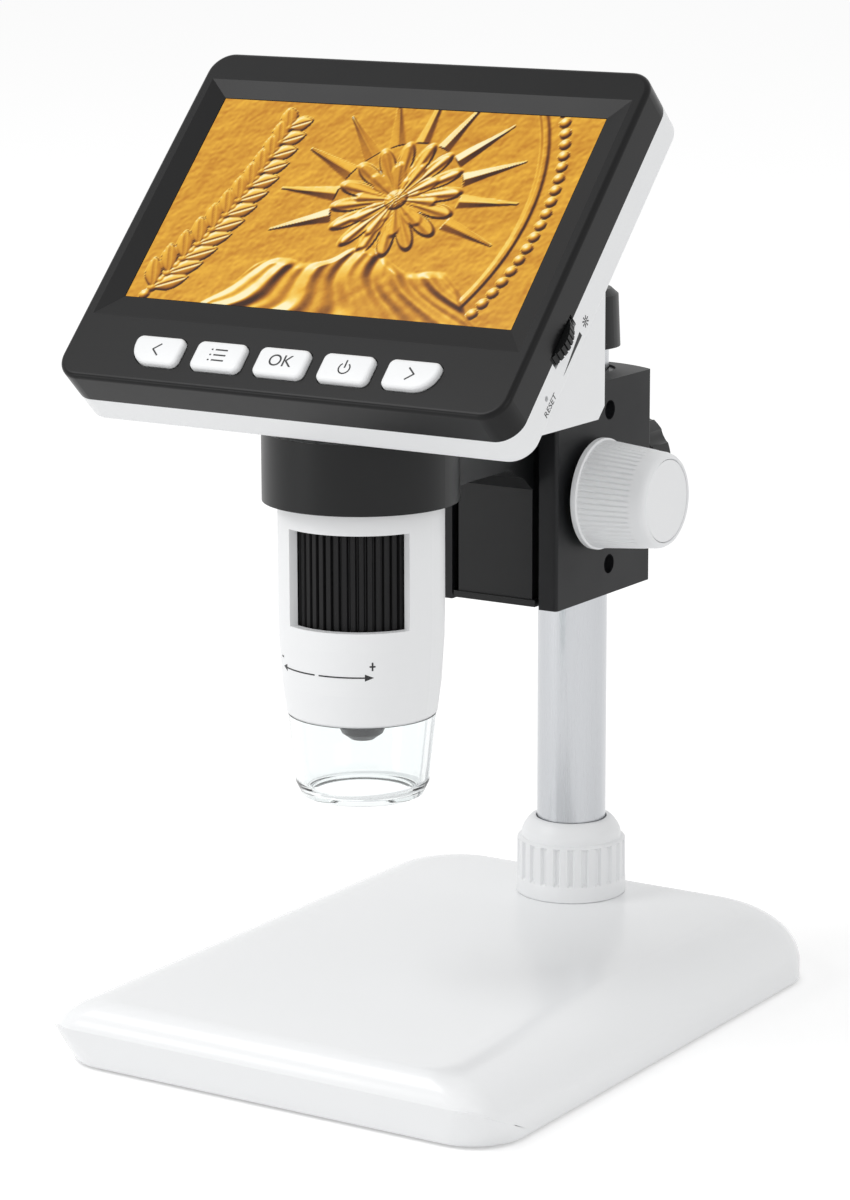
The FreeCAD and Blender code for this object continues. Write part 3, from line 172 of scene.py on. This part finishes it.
def metal(name, colour, roughness, brush_mm, axis):
    """Metal brushed or turned along one axis, with scratches 0.002 mm deep."""
    made, tree = new_material(name)
    place = add_node(tree, "ShaderNodeTexCoord").outputs["Object"]
    stretch = [1.0, 1.0, 1.0]
    stretch[axis] = 0.02
    lay = add_node(tree, "ShaderNodeMapping", {"Vector": place, "Scale": stretch})
    lines = add_node(tree, "ShaderNodeTexNoise", {"Vector": lay.outputs[0], "Scale": 1 / (brush_mm * MM),
                                                  "Detail": 3.0})
    spread = add_node(tree, "ShaderNodeMapRange", {
        "Value": lines.outputs["Fac"], "From Min": 0.3, "From Max": 0.7,
        "To Min": roughness * 0.75, "To Max": roughness * 1.25})
    bump = add_node(tree, "ShaderNodeBump", {"Height": lines.outputs["Fac"], "Strength": 0.3,
                                             "Distance": 0.002 * MM})
    shader = add_node(tree, "ShaderNodeBsdfPrincipled", {
        "Base Color": linear(colour), "Metallic": 1.0, "Roughness": spread.outputs["Result"],
        "Normal": bump.outputs[0]})
    add_node(tree, "ShaderNodeOutputMaterial", {"Surface": shader.outputs[0]})
    return made


def settle(piece, matrix=None):
    """Moves a piece's place into its mesh, and leaves its object at the origin."""
    if piece.mode == "EDIT":
        bpy.ops.object.mode_set(mode="OBJECT")
    bpy.context.view_layer.update()
    piece.data.transform((matrix or Matrix()) @ piece.matrix_world)
    piece.matrix_world = Matrix()


def pick_corners(piece, test):
    """Selects the corners that pass a test, and leaves the piece in edit mode."""
    bpy.ops.object.mode_set(mode="EDIT")
    bpy.ops.mesh.select_mode(type="VERT")
    bpy.ops.mesh.select_all(action="DESELECT")
    bpy.ops.object.mode_set(mode="OBJECT")
    for corner in piece.data.vertices:
        corner.select = bool(test(corner.co))
    bpy.ops.object.mode_set(mode="EDIT")


def finish_piece(piece, made, body, replaced=None, smooth=35):
    """Shades a piece, gives it its material, and hangs it on its body."""
    if piece.mode == "EDIT":
        bpy.ops.object.mode_set(mode="OBJECT")
    deselect()
    piece.select_set(True)
    bpy.context.view_layer.objects.active = piece
    bpy.ops.object.shade_smooth_by_angle(angle=math.radians(smooth))
    piece.data.materials.clear()
    piece.data.materials.append(made)
    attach(piece, body)
    if replaced:
        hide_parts(replaced)


glossy_abs = plastic("glossy_white_abs", "#f4f5f6", 0.2, grain_mm=0.6, depth_mm=0.001)
dress(glossy_abs, "base_tray")
SHELL_FOOT, ROLL_START, BAND_TOP, SHELL_TOP = 2.2, 4.4, 9.8, 16.0
BASE_SIDE, BASE_FRONT, BASE_BACK = 56.0, -75.0, 75.0
CORNER_FRONT, CORNER_BACK = 7.0, 15.0
ROLL_SIDE, ROLL_FRONT, ROLL_BACK, ROLL_STEPS = 15.0, 5.5, 8.0, 14
PARTING_RUN = 17.0
deselect()
bpy.ops.mesh.primitive_plane_add(size=1)
shell = bpy.context.object
shell.name = "soft_edged_base"
shell.data.transform(Matrix.Diagonal((2 * BASE_SIDE * MM, (BASE_BACK - BASE_FRONT) * MM, 1, 1)))
shell.data.transform(Matrix.Translation((0, 0, SHELL_FOOT * MM)))
for radius, end in ((CORNER_FRONT, BASE_FRONT), (CORNER_BACK, BASE_BACK)):
    pick_corners(shell, lambda co: abs(co.x) > (BASE_SIDE - 0.1) * MM and abs(co.y - end * MM) < 0.1 * MM)
    bpy.ops.mesh.bevel(offset=radius * MM, segments=10, affect="VERTICES")
bpy.ops.mesh.select_all(action="SELECT")
wide, near, far, level = BASE_SIDE, BASE_FRONT, BASE_BACK, SHELL_FOOT
for step in range(ROLL_STEPS + 1):
    lean = math.pi / 2 * step / ROLL_STEPS
    height = ROLL_START + (SHELL_TOP - ROLL_START) * math.sin(lean)
    share = max(0.0, (height - BAND_TOP) / (SHELL_TOP - BAND_TOP))
    new_wide = BASE_SIDE - ROLL_SIDE * (1 - math.cos(lean))
    new_near = BASE_FRONT + ROLL_FRONT * (1 - math.sqrt(max(0.0, 1 - share ** 2)))
    new_far = BASE_BACK - ROLL_BACK * (1 - math.cos(lean))
    bpy.ops.mesh.extrude_region_move(TRANSFORM_OT_translate={"value": (0, 0, (height - level) * MM)})
    bpy.ops.transform.resize(value=(new_wide / wide, (new_far - new_near) / (far - near), 1),
                             center_override=(0, (near + far) / 2 * MM, 0))
    bpy.ops.transform.translate(value=(0, (new_near + new_far - near - far) / 2 * MM, 0))
    wide, near, far, level = new_wide, new_near, new_far, height
bpy.ops.mesh.select_all(action="SELECT")
bpy.ops.mesh.normals_make_consistent(inside=False)
parting = Vector((0, BAND_TOP - SHELL_FOOT, PARTING_RUN)).normalized()
bpy.ops.mesh.bisect(plane_co=(0, BASE_FRONT * MM, BAND_TOP * MM), plane_no=tuple(parting), use_fill=True,
                    clear_inner=True)
settle(shell)
finish_piece(shell, glossy_abs, "base", "base_shell", smooth=30)
dress(plastic("nitrile_rubber_sheet", "#26272a", 0.75, grain_mm=0.8, depth_mm=0.02), "non_slip_pad")
zinc = metal("zinc_plated_steel", "#b9bcc0", 0.35, 0.3, 2)
dress(zinc, "ballast_plate", "base_screws", "side_screws", "clamp_screw", "case_screws")


# Column: a bright drawn steel tube, held upright by a ribbed white nut on the base's socket.
# A black rubber-like cap closes its top.
dress(metal("bright_drawn_steel", "#c2c4c7", 0.24, 0.25, 2), "column_tube")
satin_abs = plastic("satin_white_abs", "#eeeff0", 0.38, grain_mm=0.4, depth_mm=0.003)
dress(satin_abs, "post_socket")


def spun(name, profile, steps):
    """Spins a half outline, given as (radius, height) in mm, about the upright line through the origin."""
    deselect()
    bpy.ops.mesh.primitive_plane_add(size=MM)
    piece = bpy.context.object
    piece.name = name
    bpy.ops.object.mode_set(mode="EDIT")
    bpy.ops.mesh.select_all(action="SELECT")
    bpy.ops.mesh.merge(type="CENTER")
    here = Vector((0, 0, 0))
    for number, (radius, height) in enumerate(profile):
        spot = Vector((radius * MM, 0, height * MM))
        if number:
            bpy.ops.mesh.extrude_region_move(TRANSFORM_OT_translate={"value": spot - here})
        else:
            bpy.ops.transform.translate(value=spot)
        here = spot
    bpy.ops.mesh.select_all(action="SELECT")
    bpy.ops.mesh.spin(steps=steps, angle=2 * math.pi, center=(0, 0, 0), axis=(0, 0, 1))
    bpy.ops.mesh.select_all(action="SELECT")
    bpy.ops.mesh.remove_doubles(threshold=0.01 * MM)
    bpy.ops.mesh.normals_make_consistent(inside=False)
    bpy.ops.object.mode_set(mode="OBJECT")
    return piece


def press_grooves(piece, count, low, high, share, shrink):
    """Presses the valleys between count ribs towards the axis, between two heights in mm."""
    def in_valley(co):
        turn = (math.atan2(co.y, co.x) / (2 * math.pi) * count) % 1
        return low * MM < co.z < high * MM and min(turn, 1 - turn) < share
    pick_corners(piece, in_valley)
    bpy.ops.transform.resize(value=(shrink, shrink, 1), center_override=(0, 0, 0))
    bpy.ops.object.mode_set(mode="OBJECT")


NUT_RIBS, NUT_RIB_FOOT, NUT_RIB_TOP = 24, 20.1, 28.4
COLUMN_Y = 55
nut_profile = [(10.1, 16.05), (12.6, 16.05), (12.8, 16.25), (12.8, 19.6), (12.7, 19.8), (12.7, 20.3),
               (12.65, 28.2), (12.6, 28.9), (12.2, 29.3), (11.6, 29.5), (11.5, 30.8), (11.1, 31.8),
               (10.2, 33.1), (9.5, 33.8), (9.0, 34.04), (8.3, 34.04), (8.3, 29.3), (10.1, 29.3),
               (10.1, 16.05)]
nut = spun("ribbed_lock_nut", nut_profile, 8 * NUT_RIBS)
press_grooves(nut, NUT_RIBS, NUT_RIB_FOOT, NUT_RIB_TOP, 0.2, 0.945)
settle(nut, Matrix.Translation((0, COLUMN_Y * MM, 0)))
finish_piece(nut, satin_abs, "collar", "lock_collar")
black_nylon = plastic("satin_black_nylon", "#0f1011", 0.42, grain_mm=0.4, depth_mm=0.004, gloss=0.3)
dress(black_nylon, "column_cap", "clamp_knob")

# Block: a black powder-coated housing round the column, with brass bushes for the pinion's shaft.
# The carriage and its ring are one black moulding that slides in the housing's T slot.
powder_coat = plastic("black_powder_coat", "#101113", 0.5, grain_mm=0.5, depth_mm=0.008, gloss=0.3)
dress(powder_coat, "block_housing")
black_abs = plastic("satin_black_abs", "#0c0d0e", 0.36, grain_mm=0.4, depth_mm=0.003, gloss=0.3)
dress(black_abs, "carriage")
dress(plastic("acetal_liner", "#2b2c2e", 0.4), "height_sleeve")
dress(metal("turned_brass", "#c9a35c", 0.3, 0.3, 0), "shaft_bushes", "focus_rack", "pinion")
dress(metal("ground_steel", "#b5b8bc", 0.25, 0.2, 0), "pinion_shaft")
silicone = plastic("black_silicone_rubber", "#101011", 0.5, grain_mm=0.5, depth_mm=0.01, gloss=0.25)
dress(silicone, "ring_liner", "focus_wheel")

# Focus knobs: tapered white knobs with fine ribs, on both ends of the pinion's shaft.
# Each has a dished end closed by a thin disc.
KNOB_RIBS, KNOB_RIB_START, KNOB_RIB_END = 56, 19.5, 31.0
SHAFT_Y, SHAFT_HEIGHT = 36.1, 115.2
knob_profile = [(3.1, 17.5), (12.3, 17.5), (12.5, 17.7), (12.5, 18.8), (12.35, 19.0), (12.1, 19.1),
                (12.05, 19.8), (11.05, 30.6), (10.9, 31.4), (10.85, 32.0), (10.75, 33.4), (10.5, 34.4),
                (10.1, 35.0), (9.7, 35.28), (9.45, 35.2), (9.3, 35.0), (9.3, 34.4), (3.1, 34.4),
                (3.1, 17.5)]
for side, facing in (("right", 1), ("left", -1)):
    knob = spun(f"ribbed_focus_knob_{side}", knob_profile, 4 * KNOB_RIBS)
    press_grooves(knob, KNOB_RIBS, KNOB_RIB_START, KNOB_RIB_END, 0.2, 0.965)
    settle(knob, Matrix.Translation((0, SHAFT_Y * MM, SHAFT_HEIGHT * MM))
           @ Matrix.Rotation(facing * math.pi / 2, 4, "Y"))
    finish_piece(knob, satin_abs, "shaft", f"focus_knob_{side}")
dress(satin_abs, "knob_end_discs")

# Head: white barrel, clear foot, and the lens and its lamps inside.
# The clear foot is turned acrylic, polished, so it bends what is seen through it.
dress(satin_abs, "barrel_shell", "rear_cover")
dress(plastic("anodised_black_lens_tube", "#2a2b2d", 0.35), "lens_barrel")
acrylic, tree = new_material("polished_clear_acrylic")
place = add_node(tree, "ShaderNodeTexCoord").outputs["Object"]
ripple = add_node(tree, "ShaderNodeTexNoise", {"Vector": place, "Scale": 1 / (6 * MM), "Detail": 1.0})
bump = add_node(tree, "ShaderNodeBump", {"Height": ripple.outputs["Fac"], "Strength": 0.2,
                                         "Distance": 0.02 * MM})
shader = add_node(tree, "ShaderNodeBsdfPrincipled", {
    "Base Color": linear("#f7fafa"), "Roughness": 0.02, "IOR": 1.49, "Transmission Weight": 1.0,
    "Normal": bump.outputs[0]})
add_node(tree, "ShaderNodeOutputMaterial", {"Surface": shader.outputs[0]})
dress(acrylic, "objective_lens", "led_lamps")
BARREL_Y = -33.2
foot_profile = [(10.9, 59.8), (12.8, 59.8), (13.15, 60.0), (13.3, 60.4), (14.4, 62.8), (15.8, 77.45),
                (14.25, 77.45), (12.85, 63.6), (12.2, 62.0), (11.6, 61.4), (11.1, 61.2), (10.9, 61.0),
                (10.9, 59.8)]
foot = spun("clear_view_foot", foot_profile, 128)
settle(foot, Matrix.Translation((0, BARREL_Y * MM, 0)))
finish_piece(foot, acrylic, "head", "view_cap")
dress(plastic("green_glass_fibre_board", "#1d5a34", 0.4),
      "led_board", "sensor_board", "main_board", "button_board")

# Monitor: black front frame, white back, five white keys and a black dial.
# The frame's front is satin black with a sloped edge down to the display.
frame_abs = plastic("gloss_black_abs", "#09090a", 0.3, grain_mm=0.4, depth_mm=0.002, gloss=0.22)
dress(frame_abs, "front_bezel")
dress(black_nylon, "brightness_dial", "battery", "tact_switches", "dial_potentiometer", "reset_switch")
dress(zinc, "usb_socket", "card_slot", "display_frame")
dress(plastic("display_glass", "#0b0c0d", 0.08, gloss=0.3), "lcd_panel")
MONITOR_Y, MONITOR_HEIGHT, MONITOR_TILT = -32.2, 184.3, math.radians(46)
monitor_place = (Matrix.Translation((0, MONITOR_Y * MM, MONITOR_HEIGHT * MM))
                 @ Matrix.Rotation(MONITOR_TILT, 4, "X"))

# Keys: five white caps moulded in one soft-edged shape, proud of the frame.
# The outer two have one wide round lower corner.
KEY_ROW, KEY_PITCH = -41.1, 15.6
KEY_WIDTH, KEY_DEPTH, KEY_THICK, KEY_TOP = 12.2, 7.0, 5.6, 2.4
key_names = ("left", "menu", "ok", "power", "right")
for number, word in enumerate(key_names):
    middle = (number - 2) * KEY_PITCH
    deselect()
    bpy.ops.mesh.primitive_cube_add(size=MM)
    key = bpy.context.object
    key.name = f"soft_key_{word}"
    key.data.transform(Matrix.Translation((middle * MM, KEY_ROW * MM, (KEY_TOP - KEY_THICK / 2) * MM))
                       @ Matrix.Diagonal((KEY_WIDTH, KEY_DEPTH, KEY_THICK, 1)))
    for large in (False, True):
        bpy.ops.object.mode_set(mode="EDIT")
        bpy.ops.mesh.select_mode(type="EDGE")
        bpy.ops.mesh.select_all(action="DESELECT")
        bpy.ops.object.mode_set(mode="OBJECT")
        for edge in key.data.edges:
            start, end = (key.data.vertices[i].co for i in edge.vertices)
            upright = abs(start.z - end.z) > 5 * MM
            outer = ((word == "left" and start.x < (middle - 6) * MM)
                     or (word == "right" and start.x > (middle + 6) * MM))
            lower = start.y < (KEY_ROW - 3.4) * MM
            edge.select = upright and (outer and lower) == large
        bpy.ops.object.mode_set(mode="EDIT")
        if large and word not in ("left", "right"):
            continue
        bpy.ops.mesh.bevel(offset=(5.0 if large else 1.6) * MM, segments=8, affect="EDGES")
    pick_corners(key, lambda co: co.z > (KEY_TOP - 0.01) * MM)
    bpy.ops.mesh.bevel(offset=0.8 * MM, segments=4, affect="EDGES")
    settle(key, monitor_place)
    finish_piece(key, satin_abs, f"key_{word}", f"button_{word}", smooth=50)

# Printed marks: thin black ink, pad printed on the keys, on the monitor's side and round the barrel.
# Each mark stands 0.03 mm proud, as a film of ink does.
ink = plastic("black_pad_printing_ink", "#17181a", 0.5, grain_mm=0.2, depth_mm=0.001)
INK, LINE = 0.03, 0.34
strokes = []


def bar(points, width):
    """Straight strokes between points, in mm on a flat sheet."""
    for (x0, y0), (x1, y1) in zip(points, points[1:]):
        middle = ((x0 + x1) / 2 * MM, (y0 + y1) / 2 * MM, INK / 2 * MM)
        bpy.ops.mesh.primitive_cube_add(size=MM, location=middle,
                                        rotation=(0, 0, math.atan2(y1 - y0, x1 - x0)))
        piece = bpy.context.object
        piece.scale = (math.hypot(x1 - x0, y1 - y0) + width * 0.6, width, INK)
        strokes.append(piece)


def lettering(words, size, x, y):
    """Letters of one size, centred on a point of the flat sheet."""
    bpy.ops.object.text_add(location=(x * MM, y * MM, INK / 2 * MM))
    text = bpy.context.object
    text.data.body = words
    text.data.size = size * MM
    text.data.align_x = "CENTER"
    text.data.align_y = "CENTER"
    text.data.extrude = INK / 2 * MM
    bpy.ops.object.convert(target="MESH")
    strokes.append(bpy.context.object)


def triangle(x, y, length, width, turn):
    """A flat pointer whose tip lies length ahead of its back edge."""
    bpy.ops.mesh.primitive_cylinder_add(vertices=3, radius=MM, depth=MM,
                                        location=(x * MM, y * MM, INK / 2 * MM),
                                        rotation=(0, 0, turn - math.pi / 2))
    piece = bpy.context.object
    piece.scale = (width / math.sqrt(3), length / 1.5, INK)
    strokes.append(piece)


def print_on(name, body, matrix, wrap=None):
    """Joins the strokes into one mark, bends it where asked, and puts it in its place."""
    deselect()
    for piece in strokes:
        piece.select_set(True)
    bpy.context.view_layer.objects.active = strokes[0]
    bpy.ops.object.join()
    mark = bpy.context.object
    mark.name = name
    settle(mark)
    if wrap:
        for corner in mark.data.vertices:
            corner.co = wrap(corner.co)
    settle(mark, matrix)
    finish_piece(mark, ink, body, smooth=30)
    strokes.clear()


KEY_FACE = monitor_place @ Matrix.Translation((0, 0, (KEY_TOP + 0.005) * MM))
ARROW_HALF, LIST_STEP, RING_RADIUS = 1.4, 1.3, 1.3
bar([(-30.3, KEY_ROW + ARROW_HALF), (-31.9, KEY_ROW), (-30.3, KEY_ROW - ARROW_HALF)], LINE)
print_on("mark_left", "key_left", KEY_FACE)
for row in (1, 0, -1):
    height = KEY_ROW + row * LIST_STEP
    bar([(-17.5, height), (-17.3, height)], LINE)
    bar([(-16.5, height), (-13.7, height)], LINE)
print_on("mark_list", "key_menu", KEY_FACE)
lettering("OK", 4.0, 0.0, KEY_ROW)
print_on("mark_ok", "key_ok", KEY_FACE)
ring = [math.radians(90 + turn) for turn in range(40, 321, 20)]
bar([(KEY_PITCH + RING_RADIUS * math.cos(turn), KEY_ROW - 0.2 + RING_RADIUS * math.sin(turn))
     for turn in ring], 0.3)
bar([(KEY_PITCH, KEY_ROW), (KEY_PITCH, KEY_ROW + 1.7)], LINE)
print_on("mark_power", "key_power", KEY_FACE)
bar([(30.5, KEY_ROW + ARROW_HALF), (32.1, KEY_ROW), (30.5, KEY_ROW - ARROW_HALF)], LINE)
print_on("mark_right", "key_right", KEY_FACE)

# Side marks: a sun over a tapering line beside the dial, and the word at the reset hole.
# They are printed on the white strip of the monitor's right side.
SIDE_OUT = 55.004
SUN_X, SUN_Y, RAY_START, RAY_END = -15.3, -11.6, 0.55, 1.15
SIDE_FACE = monitor_place @ Matrix(((0, 0, 1, SIDE_OUT * MM), (1, 0, 0, 0), (0, 1, 0, 0), (0, 0, 0, 1)))
for turn in range(0, 360, 45):
    across, up = math.cos(math.radians(turn)), math.sin(math.radians(turn))
    bar([(SUN_X + RAY_START * across, SUN_Y + RAY_START * up),
         (SUN_X + RAY_END * across, SUN_Y + RAY_END * up)], 0.28)
bar([(SUN_X - 0.2, SUN_Y), (SUN_X + 0.2, SUN_Y)], 0.4)
triangle(-21.6, -12.0, 10.2, 1.3, math.radians(183))
lettering("RESET", 2.1, -35.7, -12.4)
print_on("mark_side", "head", SIDE_FACE)

# Barrel marks: an arrow each way with a minus and a plus, that say which way the wheel focuses.
# The flat strokes are bent round the barrel, which widens upwards from its foot.
MARK_HEIGHT, MARK_RADIUS = 88.7, 17.2
TAPER_FOOT, TAPER_RADIUS, TAPER = 84.5, 16.9, 0.0663


def round_barrel(co):
    """Bends a flat sheet round the barrel, with the sheet's x along it and its y up it."""
    height = MARK_HEIGHT + co.y / MM
    radius = TAPER_RADIUS + (height - TAPER_FOOT) * TAPER + 0.01 + co.z / MM
    angle = co.x / MM / MARK_RADIUS
    return Vector((radius * math.sin(angle), -radius * math.cos(angle), height)) * MM


def along(degrees):
    """The length on the sheet that an angle round the barrel takes."""
    return math.radians(degrees) * MARK_RADIUS


for start, end in ((-34, -2), (2, 36)):
    bar([(along(turn), 0) for turn in np.linspace(start, end, 12)], 0.3)
triangle(along(-34.5), 0, 1.9, 1.5, math.pi)
triangle(along(37.5), 0, 1.9, 1.5, 0)
bar([(along(-41.5), 2.0), (along(-38.5), 2.0)], LINE)
bar([(along(39.0), 2.4), (along(40.7), 2.4), (along(42.4), 2.4)], LINE)
bar([(along(40.7), 1.6), (along(40.7), 3.2)], LINE)
print_on("mark_barrel", "head", Matrix.Translation((0, BARREL_Y * MM, 0)), wrap=round_barrel)

# Display picture: the lit view of a gold relief, as the lens would show it.
# It is a fine sheet just over the display's glass, and its light comes from the relief's own heights.
PICTURE = (94.9, 53.7)
COLUMNS, ROWS = 380, 216
deselect()
bpy.ops.mesh.primitive_grid_add(x_subdivisions=COLUMNS - 1, y_subdivisions=ROWS - 1, size=1)
picture = bpy.context.object
picture.name = "display_picture"
picture.data.transform(Matrix.Diagonal((PICTURE[0] * MM, PICTURE[1] * MM, 1, 1)))
spots = np.array([tuple(v.co) for v in picture.data.vertices]) / MM
x, y = spots[:, 0].reshape(ROWS, COLUMNS), spots[:, 1].reshape(ROWS, COLUMNS)
chance = np.random.default_rng(7)


def ease(value, start, end):
    """A smooth step from 0 at the start to 1 at the end."""
    part = np.clip((value - start) / (end - start), 0, 1)
    return part * part * (3 - 2 * part)


def grain(cell):
    """Smooth random heights, with one bump about every cell mm."""
    heights = chance.random((int(PICTURE[1] / cell) + 4, int(PICTURE[0] / cell) + 4))
    across, up = (x + PICTURE[0] / 2) / cell, (y + PICTURE[1] / 2) / cell
    i, j = across.astype(int), up.astype(int)
    a, b = ease(across - i, 0, 1), ease(up - j, 0, 1)
    return (heights[j, i] * (1 - a) * (1 - b) + heights[j, i + 1] * a * (1 - b)
            + heights[j + 1, i] * (1 - a) * b + heights[j + 1, i + 1] * a * b)


def dome(distance, radius):
    """A half ball's height at a distance from its middle, and 0 past its radius."""
    return np.sqrt(np.clip(1 - (distance / radius) ** 2, 0, 1))


relief = 0.5 * grain(14) + 0.22 * grain(3.2) + 0.08 * grain(0.9)
ROSE_X, ROSE_Y, ROSE_RADIUS = 7, 3, 15.5
reach, bearing = np.hypot(x - ROSE_X, y - ROSE_Y), np.arctan2(y - ROSE_Y, x - ROSE_X)
rings = ((16, ROSE_RADIUS, 6.0, 1.5, 0.0), (10, 10.5, 3.0, 1.7, 0.3), (6, 6.0, 0.5, 1.4, 0.1))
for petals, outer, inner, height, turn in rings:
    wave = np.abs(np.sin(petals * (bearing + turn) / 2))
    inside = ease(inner + (outer - inner) * wave ** 0.45 - reach, 0, 1.3)
    petal = height + 0.8 * reach / outer * wave + 0.25 * np.cos(petals * (bearing + turn) * 2) * wave
    relief = np.maximum(relief, inside * petal + (1 - inside) * relief)
relief = relief + 1.6 * dome(reach, 2.6)
for ray in range(11):
    aim = np.radians(-20 + 22 * ray)
    thick = 1.9 * (1 - (reach - ROSE_RADIUS) / 15)
    ridge = np.clip(1 - np.abs(np.sin(bearing - aim)) * reach / np.maximum(thick, 0.05), 0, 1) * 1.5
    on_ray = (reach > 15) & (reach < 29) & (np.cos(bearing - aim) > 0) & (ridge > 0)
    relief = np.where(on_ray, np.maximum(relief, ridge + 0.3), relief)
RIM_X, RIM_Y, BEAD_CIRCLE, BEAD_STEP = -12, 2, 55.5, 3.0
rim, around = np.hypot(x - RIM_X, y - RIM_Y), np.arctan2(y - RIM_Y, x - RIM_X)
relief = relief + 1.2 * ease(rim, 50, 50.8) * (1 - ease(rim, 51.6, 52.4))
bead = around * BEAD_CIRCLE / BEAD_STEP
relief = relief + 1.4 * dome(np.hypot((bead - np.round(bead)) * BEAD_STEP, rim - BEAD_CIRCLE), 1.25)
LEAVES = 25
run = np.linspace(0, 1, LEAVES + 1)
stem_x, stem_y = -43 + 15 * run + 4 * np.sin(run * 3), -26 + 50 * run
for i in range(LEAVES):
    knot = np.hypot(x - stem_x[i], y - stem_y[i])
    relief = np.maximum(relief, 1.7 * dome(knot, 1.3))
    for side in ((1, -1) if i % 2 else ()):
        aim, length = np.radians(68 + side * 44), 8.5 - 0.12 * i
        out, off = np.cos(aim), np.sin(aim)
        along_leaf = ((x - stem_x[i]) * out + (y - stem_y[i]) * off) / length
        across_leaf = np.abs(-(x - stem_x[i]) * off + (y - stem_y[i]) * out)
        leaf_width = 2.0 * np.sin(np.pi * np.clip(along_leaf, 0, 1)) ** 0.8
        vein = 0.35 * np.exp(-(across_leaf / 0.25) ** 2)
        leaf = 0.9 + 0.9 * dome(across_leaf, np.maximum(leaf_width, 0.01)) - vein
        on_leaf = (along_leaf > 0) & (along_leaf < 1) & (across_leaf < leaf_width)
        relief = np.where(on_leaf, np.maximum(relief, leaf), relief)
edge = -12 - 0.012 * (x - 5) ** 2 + 2.0 * np.sin(x * 0.28) + 2 * grain(5)
cloth = ease(edge - y, 0, 2.0)
sweep = (x - 5) * 0.75 + 0.09 * (y + 14) * (x - 5) / 3 + 1.2 * np.sin(y * 0.3)
folds = 1.6 + 0.9 * np.sin(sweep) + 0.4 * np.sin(2.3 * sweep + 1) + 0.2 * grain(2)
relief = relief * (1 - cloth) + cloth * folds
slope_x = np.gradient(relief, PICTURE[0] / (COLUMNS - 1), axis=1)
slope_y = np.gradient(relief, PICTURE[1] / (ROWS - 1), axis=0)
normals = np.stack([-slope_x * 0.75, -slope_y * 0.75, np.ones_like(relief)], -1)
normals /= np.linalg.norm(normals, axis=-1, keepdims=True)
lamp_way = np.array(Vector((-0.5, 0.62, 0.6)).normalized())
shine_way = np.array(Vector((-0.3, 0.4, 1.0)).normalized())
shine = np.clip(normals @ shine_way, 0, 1) ** 24
light = np.clip((normals @ lamp_way) * 0.95 + 0.22 * (shine - 0.5) + 0.1 + 0.05 * (grain(0.6) - 0.5), 0, 1)
gold = [linear(c) for c in ("#3c1c06", "#7e460c", "#c8841c", "#f2b838", "#fcd96c", "#fff4c4")]
levels = (0.0, 0.25, 0.5, 0.68, 0.85, 1.0)
shades = np.stack([np.interp(light, levels, [c[k] for c in gold]) for k in range(4)], -1)
layer = picture.data.color_attributes.new("relief_light", "FLOAT_COLOR", "POINT")
layer.data.foreach_set("color", shades.reshape(-1).astype(np.float32))
lit, tree = new_material("lit_display_pixels")
seen = add_node(tree, "ShaderNodeAttribute", attribute_name="relief_light")
shader = add_node(tree, "ShaderNodeBsdfPrincipled", {
    "Base Color": linear("#050505"), "Roughness": 0.15, "Specular IOR Level": 0.2,
    "Emission Color": seen.outputs["Color"], "Emission Strength": 0.97})
add_node(tree, "ShaderNodeOutputMaterial", {"Surface": shader.outputs[0]})
settle(picture, monitor_place @ Matrix.Translation((0, 0, -0.05 * MM)))
finish_piece(picture, lit, "head")
